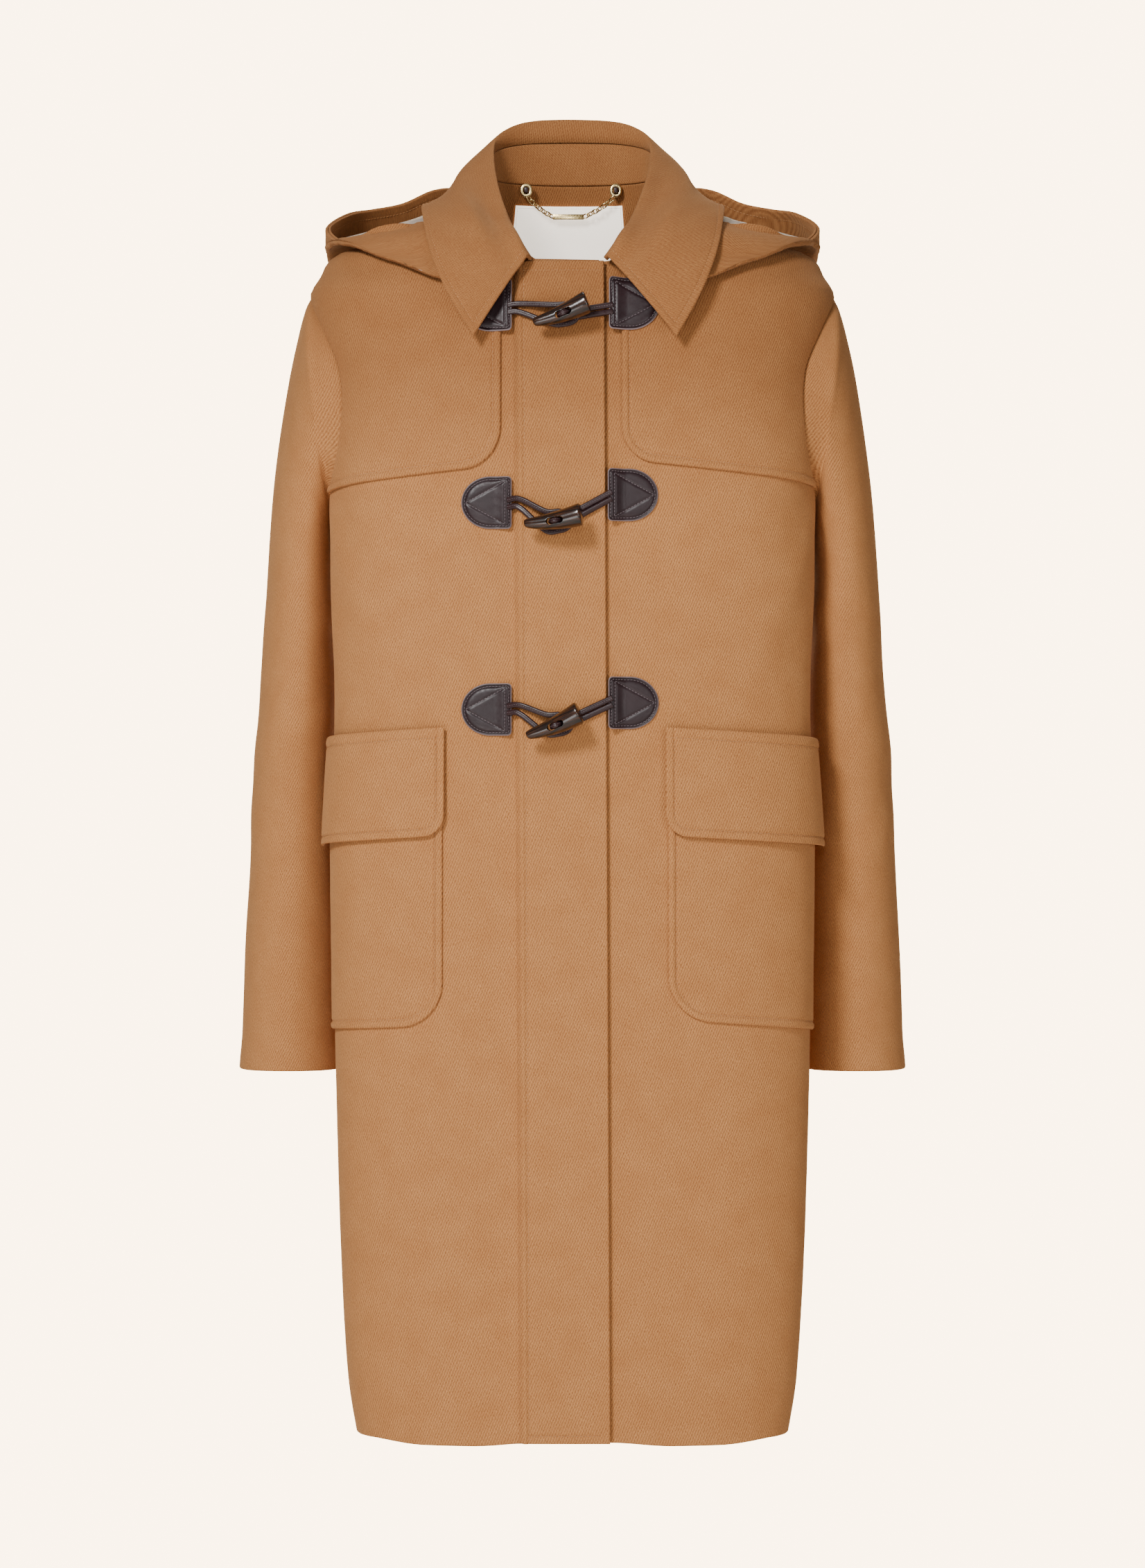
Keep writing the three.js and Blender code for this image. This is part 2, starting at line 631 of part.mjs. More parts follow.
function pocketFlap({ side, inner, width }) {
  const rows = shares(4);
  const columns = [0, 0.05, 0.11, 0.24, 0.36, 0.47, 0.57, 0.66, 0.75, 0.84, 0.92, 1];
  const under = overlayTop + layGap;
  const place = (row, column, lift) => {
    const top = flap.topZ - flap.outerTopDrop * column;
    const rise = cornerRise(width * column, flap.corner);
    const bottom = flap.topZ - flap.height - flap.outerDrop * column + rise;
    const z = bottom + (top - bottom) * row;
    const out = flap.flare * (1 - row) * (0.35 + 0.65 * column ** 3);
    return bodyAt(side * (inner - 2 + (width + 2) * column), z, under + out + lift);
  };
  return wall(
    grid(rows, columns, (row, column) => place(row, column, wool)),
    grid(rows, columns, (row, column) => place(row, column, 0)),
  );
}
for (const pocket of pockets) {
  addPiece(`pocket_${pocket.name}`, pocketPatch(pocket), cloth(colours.wool));
  addPiece(`pocket_flap_${pocket.name}`, pocketFlap(pocket), cloth(colours.wool));
}

function readLine(rows) {
  const [x, y, z] = ["x", "y", "z"].map((name) => readColumn(rows, "at", name));
  return (at) => {
    const away = Math.abs(at);
    return new THREE.Vector3(Math.sign(at) * x(away), y(away), z(away));
  };
}

// The neckline by the same share as the collar: round the back at one height, then down in front.
const sideShare = 0.45;
const frontEase = 1.25;
function necklineAt(at, lift) {
  const away = Math.abs(at);
  const side = at < 0 ? -1 : 1;
  if (away <= sideShare) {
    const { whole, side: toSide } = halfRing(neckBackZ);
    return bodyAt(side * (whole - ((whole - toSide) * away) / sideShare), neckBackZ, lift);
  }
  const share = (away - sideShare) / (1 - sideShare);
  const z = neckBackZ + (neckFrontZ - neckBackZ) * share ** frontEase;
  return bodyAt(side * roundAtX(necklineHalfWidth(z), z), z, lift);
}

const rollAt = readLine(rollLine);
const edgeAt = readLine(collarEdge);

function shiftedRoll(at) {
  const point = rollAt(at);
  point.x += collar.rollShift * at ** 4;
  return point;
}

// The collar's stand rises from the neckline to the seam below the roll.
function standPoint(at, share) {
  const foot = necklineAt(at, -collar.standThick - layGap);
  foot.z += seamGap;
  return foot.lerp(shiftedRoll(at), collar.standShare * share);
}

function collarStand() {
  const columns = shares(24, -collar.standReach, collar.standReach);
  const inner = grid([0, 0.5, 1], columns, (row, at) => standPoint(at, row));
  return wall(inner, offsetGrid(inner, collar.standThick));
}

// The fall starts at that seam, turns over the roll and spreads to its edge.
function fallPoint(at, share) {
  const away = Math.abs(at);
  const roll = shiftedRoll(at);
  const edge = edgeAt(at);
  edge.x += collar.tipShift * at ** 4;
  if (share < 0) return roll.lerp(standPoint(at, 1), -share * collar.tuck);
  const out = new THREE.Vector3(roll.x, roll.y - collar.middleY, 0).normalize();
  const bulge = collar.bulge * THREE.MathUtils.lerp(1, collar.tipBulge, away ** 3);
  const point = roll.lerp(edge, share);
  point.addScaledVector(out, bulge * Math.sin(Math.PI * share) * collar.bulgeOut);
  point.z += bulge * Math.sin(Math.PI * share) * collar.bulgeUp;
  const atTip = smoothStep(away, tipPart.from, tipPart.to);
  const clearance = THREE.MathUtils.lerp(collar.clearance, collar.tipClearance, atTip);
  const inFront = frontPart.share * smoothStep(away, frontPart.from, frontPart.to);
  return standClear(point, clearance * Math.max(smoothStep(share, 0, rollPart), inFront));
}

function collarFall() {
  const rows = [-1, -0.35, 0, 0.08, 0.3, 0.55, 0.8, 1];
  const upper = grid(rows, shares(collar.columns, -1, 1), (share, at) => fallPoint(at, share));
  return wall(upper, offsetGrid(upper, -collar.fallThick));
}
addPiece("collar_stand", collarStand(), cloth(colours.wool));
addPiece("collar_fall", collarFall(), cloth(colours.wool));

// The hood: each column runs from the neck seam over the floor of the bag, round its
// bottom and up to the rim of the face opening.
const hoodLines = [hoodNeck, hoodFloor, hoodBottom, hoodOuter, hoodRim].map(readLine);

function hoodPoint(at, share) {
  const curve = new THREE.CatmullRomCurve3(hoodLines.map((line) => line(at)), false, "centripetal");
  const fromShoulder = (Math.abs(at) - hoodShoulder.at) / hoodShoulder.spread;
  const extra = hoodShoulder.extra * Math.exp(-fromShoulder * fromShoulder);
  return standClear(curve.getPoint(share), hood.clearance + extra);
}

const hoodGrid = grid(
  shares(hood.rows), shares(hood.columns, -1, 1), (share, at) => hoodPoint(at, share),
);

// A layer of the hood between two of its rows, set in a little from both.
const rowInset = 0.1;
function hoodLayer(fromRow, toRow, lift, thick) {
  const layer = (distance) => {
    const rows = offsetGrid(hoodGrid, distance).slice(fromRow, toRow + 1);
    const last = rows.length - 1;
    if (lift > 0) {
      rows[0].forEach((point, c) => point.lerp(rows[1][c], rowInset));
      rows[last].forEach((point, c) => point.lerp(rows[last - 1][c], rowInset));
    }
    return rows;
  };
  return wall(layer(lift), layer(lift - thick));
}
addPiece("hood_shell", hoodLayer(0, hood.rows, 0, hood.thick), cloth(colours.wool));

// Inside the bag lie the wool facing along the rim and the thin lining beyond it.
const liningTop = 2.2 * layGap + hood.liningThick;
const hoodLining = hoodLayer(0, hood.facingRow, liningTop, hood.liningThick);
const hoodFacing = hoodLayer(hood.facingRow, hood.rows, liningTop, hood.liningThick);
addPiece("hood_lining", hoodLining, cloth(colours.lining));
addPiece("hood_facing", hoodFacing, cloth(colours.wool));

// A leather patch: straight towards the thongs, half an oval on the far side. Its straight
// edge stands up on the thongs' ends.
function leatherPatch(side, edgeX, middleZ, edgeLift, baseLift) {
  const straight = leather.width * leather.straightShare;
  const turned = leather.width - straight;
  const columns = [0, 0.22, 0.42, 0.58, 0.72, 0.84, 0.93, 0.985];
  const rows = [-1, -0.4, 0.4, 1];
  const place = (row, column, lift) => {
    const away = leather.width * column;
    const round = Math.max(away - straight, 0) / turned;
    const z = middleZ + ((row * leather.height) / 2) * Math.sqrt(1 - round * round);
    const raised = edgeLift + (baseLift - edgeLift) * smoothStep(away, 0, leather.edgeRamp);
    return frontAt(edgeX + side * away, z, raised + lift);
  };
  return wall(
    grid(rows, columns, (row, column) => place(row, column, leather.thick)),
    grid(rows, columns, (row, column) => place(row, column, 0)),
  );
}

function tube(points, width, sides) {
  const circle = new THREE.Shape();
  for (const turn of shares(sides).slice(0, -1)) {
    const [x, y] = [Math.cos(turn * 2 * Math.PI), Math.sin(turn * 2 * Math.PI)];
    if (turn === 0) circle.moveTo((x * width) / 2, (y * width) / 2);
    else circle.lineTo((x * width) / 2, (y * width) / 2);
  }
  const path = new THREE.CatmullRomCurve3(points, false, "centripetal");
  const steps = Math.ceil(path.getLength() / (width * 1.5));
  return new THREE.ExtrudeGeometry(circle, { steps, bevelEnabled: false, extrudePath: path });
}

const wasm = await Module();
wasm.setup();

function solidOf(geometry) {
  const bare = geometry.clone();
  bare.deleteAttribute("normal");
  bare.deleteAttribute("uv");
  const merged = mergeVertices(bare, 1e-3);
  const vertProperties = new Float32Array(merged.attributes.position.array);
  const triVerts = new Uint32Array(merged.index.array);
  return new wasm.Manifold(new wasm.Mesh({ numProp: 3, vertProperties, triVerts }));
}

function geometryOf(solid) {
  const { vertProperties, triVerts } = solid.getMesh();
  const geometry = new THREE.BufferGeometry();
  geometry.setAttribute("position", new THREE.BufferAttribute(new Float32Array(vertProperties), 3));
  geometry.setIndex(Array.from(triVerts));
  return geometry;
}

// A horn toggle lies along +X from its tip, bends a little and has a slot from front to back.
function hornToggle() {
  const profile = toggleProfile.map(({ along, radius }) => new THREE.Vector2(radius, along));
  const horn = new THREE.LatheGeometry(profile, toggle.sides);
  horn.rotateZ(-Math.PI / 2);
  const places = horn.attributes.position;
  for (let i = 0; i < places.count; i += 1) {
    const share = places.getX(i) / toggle.length;
    places.setZ(i, places.getZ(i) - toggle.bend * 4 * share * (1 - share));
  }
  const slot = new THREE.BoxGeometry(toggle.slotLength, 40, toggle.slotWidth);
  slot.translate(toggle.slotAt, 0, -toggle.bend);
  return geometryOf(solidOf(horn).subtract(solidOf(slot)));
}

// Each fastening: two patches, the thong loop from the right-hand front, and the toggle on
// its own thong from the left-hand front. That thong runs under the loop's end and up
// through the toggle's slot, and the toggle lies on the loop.
const onPlacket = lap.step + placket.gap + wool;
const strandRadius = thong.width / 2;
const strandSpread = strandRadius + 0.4;
const pullLift = onPlacket + layGap + strandRadius;
const loopEndLift = pullLift + thong.width + 1.4;
const slotLift = THREE.MathUtils.lerp(toggle.tipLift, toggle.fatLift, toggle.slotAt / toggle.length);
const loopDrop = slotLift - loopEndLift;
const pullDrop = slotLift - pullLift - 1;

function thongLoop(row, edgeLift, underSlot) {
  const start = loopPatchX + seamGap;
  const first = edgeLift + layGap + strandRadius;
  const spread = strandSpread + thong.width + 0.2;
  const strand = (side) => [
    frontAt(start, row.loopZ + side * strandSpread, first),
    frontAt(start + 9, row.loopZ + side * (strandSpread + 0.6), pullLift),
    underSlot(-9, side * spread, loopDrop + 1.5),
    underSlot(1, side * spread, loopDrop),
    underSlot(7, side * spread * 0.7, loopDrop),
  ];
  const end = underSlot(10, 0, loopDrop);
  return tube([...strand(1), end, ...strand(-1).reverse()], thong.width, thong.sides);
}

// The toggle's own thong, whose bight shows in the slot. The toggle's frame places it there.
function toggleThong(row, underSlot, horn) {
  const turn = strandRadius + 0.12;
  const pair = (share, side) => {
    const start = frontAt(row.togglePatchX - 0.8, row.toggleCordZ + side * strandSpread, pullLift);
    return start.lerp(underSlot(3.4, side * strandSpread, pullDrop), share);
  };
  const inSlot = (side, forward) => horn.tip.clone()
    .addScaledVector(horn.length, toggle.slotAt + side * turn)
    .addScaledVector(horn.up, -toggle.bend)
    .addScaledVector(horn.back, -forward);
  const route = [
    pair(0, 1), pair(0.5, 1), pair(1, 1),
    inSlot(1, -8.5), inSlot(1, 1), inSlot(0, 1 + turn * 1.3), inSlot(-1, 1), inSlot(-1, -8.5),
    pair(1, -1), pair(0.5, -1), pair(0, -1),
  ];
  return tube(route, thong.width, thong.sides);
}

for (const row of fastenings) {
  const base = layGap + (row.onYoke ? overlayTop + layGap : 0);
  const loopEdge = Math.max(base, lap.step - 0.4);
  const loopPatch = leatherPatch(-1, loopPatchX, row.loopPatchZ, loopEdge, base);
  const togglePatch = leatherPatch(1, row.togglePatchX, row.togglePatchZ, onPlacket, base);
  addPiece(`leather_loop_patch_${row.name}`, loopPatch, glossy(colours.leather, 0.45, 0));
  addPiece(`leather_toggle_patch_${row.name}`, togglePatch, glossy(colours.leather, 0.45, 0));

  const tip = frontAt(row.tipX, row.tipZ, toggle.tipLift);
  const fat = frontAt(row.fatX, row.fatZ, toggle.fatLift);
  const length = fat.clone().sub(tip).normalize();
  const up = length.clone().cross(new THREE.Vector3(0, 1, 0)).normalize();
  const back = up.clone().cross(length);
  const slot = tip.clone().addScaledVector(length, toggle.slotAt).addScaledVector(up, -toggle.bend);
  const underSlot = (x, z, drop) => slot.clone().addScaledVector(back, drop)
    .add(new THREE.Vector3(x, 0, z));
  const loop = thongLoop(row, loopEdge, underSlot);
  addPiece(`thong_loop_${row.name}`, loop, glossy(colours.leather, 0.5, 0));
  const pull = toggleThong(row, underSlot, { tip, length, up, back });
  addPiece(`thong_toggle_${row.name}`, pull, glossy(colours.leather, 0.5, 0));
  const horn = hornToggle();
  horn.applyMatrix4(new THREE.Matrix4().makeBasis(length, back, up).setPosition(tip));
  addPiece(`toggle_${row.name}`, horn, glossy(colours.horn, 0.25, 0));
}

// Inside the back neck: the facing, the bare label, and the hanging loop.
function backNeckFacing() {
  const upperRows = armholeRows.filter((z) => z > facing.bottomZ);
  const rows = [facing.bottomZ, ...upperRows, ...shoulderRows, facing.topZ];
  const columns = shares(8, -1, 1);
  const place = (z, column, lift) => {
    const narrow = Math.min(facing.halfWidth, backEdge(z) - 4);
    return backAt(narrow * column, z, lift - wool - layGap);
  };
  return wall(
    grid(rows, columns, (z, column) => place(z, column, 0)),
    grid(rows, columns, (z, column) => place(z, column, -facing.thick)),
  );
}
addPiece("back_neck_facing", backNeckFacing(), cloth(colours.wool));

const facingInside = -wool - layGap - facing.thick;
function neckLabel() {
  const rows = [label.bottomZ, armhole.topZ, ...shoulderRows.filter((z) => z < label.topZ), label.topZ];
  const columns = shares(5);
  const place = (z, column, lift) => {
    const across = label.left + (label.right - label.left) * column;
    return backAt(across, z, facingInside - facing.gap + lift);
  };
  return wall(
    grid(rows, columns, (z, column) => place(z, column, 0)),
    grid(rows, columns, (z, column) => place(z, column, -label.thick)),
  );
}
addPiece("neck_label", neckLabel(), cloth(colours.label));

function ovalRing() {
  const outline = new THREE.Shape();
  outline.absellipse(0, 0, hanger.width / 2, hanger.height / 2, 0, 2 * Math.PI);
  const slot = new THREE.Path();
  slot.absellipse(0, 0, hanger.hole, hanger.hole * 1.5, 0, 2 * Math.PI);
  outline.holes.push(slot);
  const ring = new THREE.ExtrudeGeometry(outline, {
    depth: hanger.thick, bevelEnabled: false, curveSegments: 5,
  });
  ring.rotateX(Math.PI / 2);
  return ring;
}

// A tube whose radius swells at each link of the chain.
function chainLength(from, to, sag) {
  const middle = from.clone().lerp(to, 0.45);
  middle.z -= sag;
  const path = new THREE.QuadraticBezierCurve3(from, middle, to);
  const sides = 4;
  const ringsPerLink = 3;
  const swell = [0.95, 1.5, 1.5];
  const rows = shares(hanger.links * ringsPerLink).map((share, i) => {
    const radius = swell[i % ringsPerLink];
    return shares(sides).slice(0, -1).map((turn) => {
      const angle = turn * 2 * Math.PI;
      const along = path.getTangent(share);
      const side = new THREE.Vector3(0, 1, 0).cross(along).normalize();
      const point = path.getPoint(share).addScaledVector(side, Math.cos(angle) * radius);
      point.y += Math.sin(angle) * radius;
      return point;
    });
  });
  const points = rows.flat();
  const triangles = [];
  for (let r = 0; r < rows.length - 1; r += 1) {
    for (let c = 0; c < sides; c += 1) {
      const next = (c + 1) % sides;
      triangles.push([r * sides + c, r * sides + next, (r + 1) * sides + next]);
      triangles.push([r * sides + c, (r + 1) * sides + next, (r + 1) * sides + c]);
    }
  }
  const end = (rows.length - 1) * sides;
  for (let c = 1; c < sides - 1; c += 1) {
    triangles.push([0, c + 1, c]);
    triangles.push([end, end + c, end + c + 1]);
  }
  return closedGeometry(points, triangles);
}

// The hanging loop: a tab and an oval end plate on each side, two lengths of chain, a plate.
const neckInside = facingInside - facing.gap;
const plateMiddleX = (hanger.plateLeft + hanger.plateRight) / 2;
const plateY = backAt(plateMiddleX, hanger.plateZ, neckInside).y - hanger.standOff;
const brass = glossy(colours.brass, 0.3, 1);
for (const [name, x, plateX] of [
  ["right", hanger.leftX, hanger.plateLeft],
  ["left", hanger.rightX, hanger.plateRight],
]) {
  const seat = backAt(x, hanger.z, neckInside);
  const tabLength = hanger.standOff * 0.85;
  const tab = new THREE.BoxGeometry(hanger.hole * 1.4, tabLength, hanger.hole * 2);
  tab.translate(seat.x, seat.y - 1.8 - tabLength / 2, hanger.z);
  addPiece(`hanger_tab_${name}`, tab, glossy(colours.leather, 0.5, 0));
  const ring = ovalRing();
  const ringY = seat.y - hanger.standOff * 0.6;
  ring.translate(seat.x, ringY, hanger.z);
  addPiece(`hanger_ring_${name}`, ring, brass);
  const inward = Math.sign(plateX - x);
  const chainX = seat.x + inward * hanger.chainInward;
  const from = new THREE.Vector3(chainX, ringY - hanger.thick / 2, hanger.z - hanger.chainDrop);
  const to = new THREE.Vector3(plateX - inward * seamGap, plateY, hanger.plateZ);
  addPiece(`hanger_chain_${name}`, chainLength(from, to, hanger.sag), brass);
}
const plate = new THREE.BoxGeometry(
  hanger.plateRight - hanger.plateLeft, hanger.plateThick, hanger.plateHeight,
);
plate.translate(plateMiddleX, plateY, hanger.plateZ);
addPiece("hanger_plate", plate, brass);

export default coat;
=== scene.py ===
import math

import bpy
import numpy as np
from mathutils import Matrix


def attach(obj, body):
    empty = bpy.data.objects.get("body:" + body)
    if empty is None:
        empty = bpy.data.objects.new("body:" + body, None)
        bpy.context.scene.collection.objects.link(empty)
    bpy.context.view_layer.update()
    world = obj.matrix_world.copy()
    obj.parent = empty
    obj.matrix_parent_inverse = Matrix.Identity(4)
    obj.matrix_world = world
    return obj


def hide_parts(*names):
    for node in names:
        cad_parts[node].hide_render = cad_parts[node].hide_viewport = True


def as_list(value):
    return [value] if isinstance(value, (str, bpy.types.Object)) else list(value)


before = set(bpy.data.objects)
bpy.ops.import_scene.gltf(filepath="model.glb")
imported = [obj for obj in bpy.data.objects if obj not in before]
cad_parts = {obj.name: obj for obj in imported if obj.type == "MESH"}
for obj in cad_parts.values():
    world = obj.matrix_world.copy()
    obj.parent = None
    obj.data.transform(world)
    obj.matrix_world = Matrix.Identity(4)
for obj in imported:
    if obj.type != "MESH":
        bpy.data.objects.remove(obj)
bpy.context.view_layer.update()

mm = 0.001
body = "root"


# A table with named columns, a row for each place.
def table(names, rows):
    return [dict(zip(names.split(), row)) for row in rows]


# The body's level rings: each is a rounded box, with its widest line at y = widest.
bodyLevels = table("z halfWidth front back widest frontPower backPower", [
    (-950, 165, -119, 112, -42, 3.0, 2.3),
    (-905, 172, -120, 114, -42, 3.0, 2.3),
    (-810, 178, -121, 116, -42, 2.9, 2.3),
    (-660, 182, -122, 116, -42, 2.8, 2.2),
    (-480, 184, -122, 112, -40, 2.7, 2.2),
    (-370, 183, -121, 106, -36, 2.7, 2.2),
    (-300, 185, -122, 108, -30, 2.9, 2.2),
    (-235, 185.5, -123, 114, -22, 3.2, 2.3),
    (-180, 184.5, -121, 114, -14, 3.3, 2.3),
    (-132, 186, -117, 108, -6, 3.2, 2.4),
    (-100, 196, -111, 101, -2, 3.0, 2.4),
    (-72, 201, -105, 93, 2, 2.8, 2.4),
    (-57, 193.5, -99, 88, 4, 2.6, 2.4),
    (-42, 184, -93, 82, 5, 2.4, 2.4),
    (-34, 158, -85, 77, 5, 2.3, 2.3),
    (-22, 116, -72, 71, 4, 2.2, 2.2),
    (-6, 84, -58, 64, 3, 2.1, 2.1),
    (24, 66, -36, 56, 2, 2.0, 2.0),
])
neckline = table("z halfWidth", [(-53, 27), (-42, 41), (-25, 53), (-5, 61), (12, 65), (24, 66)])
hemZ = -945
hemDrop = 3.0
neckBackZ = 24
neckFrontZ = -53
seamGap = 0.3
wool = 2.5
armhole = {"topZ": -68, "bottomZ": -235, "frontCut": 66, "backCut": 62}

sleeveSections = table("outerX outerZ innerX innerZ middle depth", [
    (206.5, -79, 185, -240, 0, 143),
    (213, -97, 185.5, -247, 4, 147),
    (221.5, -132, 185.5, -260, 10, 149),
    (230, -184, 185, -280, 16, 148),
    (237, -246, 185, -316, 21, 145),
    (243, -330, 184, -375, 29, 138),
    (250, -430, 184, -455, 35, 130),
    (256, -530, 183, -542, 38, 122),
    (260, -615, 182, -620, 39, 115),
    (262, -672, 181, -672, 39, 110),
])
sleeveSquareness = 2.3

rollLine = table("at x y z", [
    (0, 0, 57, 79), (0.2, 38, 50, 75.5), (0.4, 59, 28, 61), (0.55, 61, -2, 42),
    (0.7, 57, -40, 15), (0.85, 45, -79, -20), (1, 27, -107, -51),
])
collarEdge = table("at x y z", [
    (0, 0, 108, 16), (0.2, 62, 95, 13), (0.4, 101, 56, 5), (0.55, 111, 5, -9),
    (0.7, 109, -55, -39), (0.85, 98, -103, -75), (1, 76, -126, -114),
])
hoodNeck = table("at x y z", [
    (0, 0, 66, 27), (0.25, 42, 57, 27), (0.42, 68, 30, 24), (0.55, 76, 0, 17),
    (0.7, 74, -40, -8), (0.85, 60, -82, -38), (1, 46, -102, -58),
])
hoodFloor = table("at x y z", [
    (0, 0, 108, -55), (0.25, 72, 96, -42), (0.42, 112, 66, -24), (0.55, 116, 8, -16),
    (0.7, 106, -44, -34), (0.85, 82, -86, -54), (1, 52, -104, -64),
])
hoodBottom = table("at x y z", [
    (0, 0, 134, -212), (0.25, 96, 124, -184), (0.42, 158, 88, -76), (0.55, 158, 14, -22),
    (0.7, 137, -50, -38), (0.85, 100, -90, -61), (1, 58, -105, -69),
])
hoodOuter = table("at x y z", [
    (0, 0, 176, -128), (0.25, 112, 158, -100), (0.42, 186, 92, -42), (0.55, 188, 20, -33),
    (0.62, 178, -18, -42), (0.7, 161, -54, -46), (0.85, 112, -92, -66), (1, 62, -106, -74),
])
hoodRim = table("at x y z", [
    (0, 0, 156, 10), (0.2, 88, 134, 32), (0.27, 112, 118, 29), (0.34, 135, 106, 17), (0.4, 158, 90, 10),
    (0.46, 176, 66, 4), (0.55, 191, 14, -13), (0.63, 184, -18, -26), (0.7, 170, -44, -32),
    (0.77, 149, -60, -23), (0.83, 127, -62, -21), (0.88, 114, -54, -27), (0.94, 88, -82, -52), (1, 66, -107, -78),
])


# Numbers: a vector over its length, and a smooth step from 0 to 1.
def unit(vectors):
    return vectors / np.maximum(np.linalg.norm(vectors, axis=-1, keepdims=True), 1e-9)


def smooth(value, low, high):
    share = np.clip((value - low) / (high - low), 0, 1)
    return share * share * (3 - 2 * share)


def mix(a, b, share):
    return a + (b - a) * share


# A cubic through stations at given knots, with the mean slope at each one.
def through(knots, values):
    knots = np.asarray(knots, float)
    values = np.asarray(values, float)
    last = len(knots) - 1
    before = np.maximum(np.arange(last + 1) - 1, 0)
    after = np.minimum(np.arange(last + 1) + 1, last)
    shape = (-1,) + (1,) * (values.ndim - 1)
    slopes = (values[after] - values[before]) / (knots[after] - knots[before]).reshape(shape)

    def read(at):
        x = np.clip(np.asarray(at, float), knots[0], knots[-1])
        i = np.clip(np.searchsorted(knots, x, side="right") - 1, 0, last - 1)
        span = knots[i + 1] - knots[i]
        t = (x - knots[i]) / span
        if values.ndim > 1:
            span, t = (part.reshape(part.shape + (1,) * (values.ndim - 1)) for part in (span, t))
        keep = 1 - t
        start = values[i] * (1 + 2 * t) * keep ** 2 + slopes[i] * span * t * keep ** 2
        return start + values[i + 1] * (1 + 2 * keep) * t ** 2 - slopes[i + 1] * span * keep * t ** 2

    return read


def readColumn(rows, by, column):
    return through([row[by] for row in rows], [row[column] for row in rows])


# A slow unevenness from -1 to 1: the mean of seven plane waves.
def lumps(u, v, size, seed):
    waves = np.random.default_rng(seed).uniform((0, 0, 0.6), (math.pi, 2 * math.pi, 1.7), (7, 3))
    total = 0
    for turn, phase, stretch in waves:
        total = total + np.sin((u * math.cos(turn) + v * math.sin(turn)) * 2 * math.pi / (size * stretch) + phase)
    return total / len(waves)


# The body's rings as tables over height and the share of the half ring.
level = {name: readColumn(bodyLevels, "z", name) for name in list(bodyLevels[0])[1:]}
necklineHalfWidth = readColumn(neckline, "z", "halfWidth")
ringSpacing = 2.0
ringZ = np.arange(-954, 28, ringSpacing)
ringShares = 600


def tabulateRings():
    turn = np.linspace(0, math.pi, 1441)
    inFront = turn <= math.pi / 2
    z = ringZ[:, None]
    power = 2 / np.where(inFront, level["frontPower"](z), level["backPower"](z))
    reach = np.where(inFront, level["front"](z), level["back"](z)) - level["widest"](z)
    x = level["halfWidth"](z) * np.clip(np.sin(turn), 0, 1) ** power
    y = level["widest"](z) + reach * np.abs(np.cos(turn)) ** power
    steps = np.hypot(np.diff(x), np.diff(y))
    walked = np.concatenate([np.zeros((len(ringZ), 1)), np.cumsum(steps, axis=1)], axis=1)
    shares = np.linspace(0, 1, ringShares + 1)
    even = [[np.interp(shares, w / w[-1], line) for w, line in zip(walked, lines)] for lines in (x, y)]
    half = len(turn) // 2 + 1
    byWidth = [np.interp(shares, line[:half] / line[half - 1], w[:half]) for line, w in zip(x, walked)]
    return np.array(even[0]), np.array(even[1]), np.array(byWidth), walked[:, -1], walked[:, half - 1]


ringX, ringY, aroundByWidth, ringWhole, ringSide = tabulateRings()


def heightCell(z):
    at = np.clip((z - ringZ[0]) / ringSpacing, 0, len(ringZ) - 1.001)
    i = at.astype(int)
    return i, at - i


def readTable(values, z, share):
    i, f = heightCell(z)
    at = np.clip(share, 0, 1) * ringShares
    j = np.minimum(at.astype(int), ringShares - 1)
    g = at - j
    low = values[i, j] * (1 - g) + values[i, j + 1] * g
    high = values[i + 1, j] * (1 - g) + values[i + 1, j + 1] * g
    return low * (1 - f) + high * f


def wholeAt(z):
    i, f = heightCell(z)
    return mix(ringWhole[i], ringWhole[i + 1], f)


def sideAt(z):
    i, f = heightCell(z)
    return mix(ringSide[i], ringSide[i + 1], f)


# The point at a signed distance round the body from the middle of the front.
def onRing(around, z):
    around, z = np.broadcast_arrays(np.asarray(around, float), np.asarray(z, float))
    share = np.abs(around) / wholeAt(z)
    x = readTable(ringX, z, share) * np.where(around < 0, -1, 1)
    return np.stack([x, readTable(ringY, z, share), z], axis=-1)


probe = 3.0


# The same point lifted off the cloth along the body's own normal.
def bodyAt(around, z, lift=0.0):
    around, z, lift = np.broadcast_arrays(*(np.asarray(part, float) for part in (around, z, lift)))
    whole = wholeAt(z)
    near = np.clip(np.abs(around), probe, whole - probe) * np.where(around < 0, -1, 1)
    along = onRing(near + probe, z) - onRing(near - probe, z)
    up = onRing(near, z + probe) - onRing(near, z - probe)
    normal = unit(np.cross(along, up))
    inMiddle = (np.abs(around) < probe) | (np.abs(around) > whole - probe)
    normal[..., 0] = np.where(inMiddle, 0, normal[..., 0])
    return onRing(around, z) + unit(normal) * lift[..., None]


def backAt(fromBack, z, lift=0.0):
    fromBack = np.asarray(fromBack, float)
    side = np.where(fromBack < 0, -1, 1)
    return bodyAt(side * (wholeAt(np.asarray(z, float)) - np.abs(fromBack)), z, lift)


def aroundAt(x, z):
    x, z = np.broadcast_arrays(np.asarray(x, float), np.asarray(z, float))
    return np.sign(x) * readTable(aroundByWidth, z, np.abs(x) / level["halfWidth"](z))


def frontAt(x, z, lift=0.0):
    return bodyAt(aroundAt(x, z), z, lift)


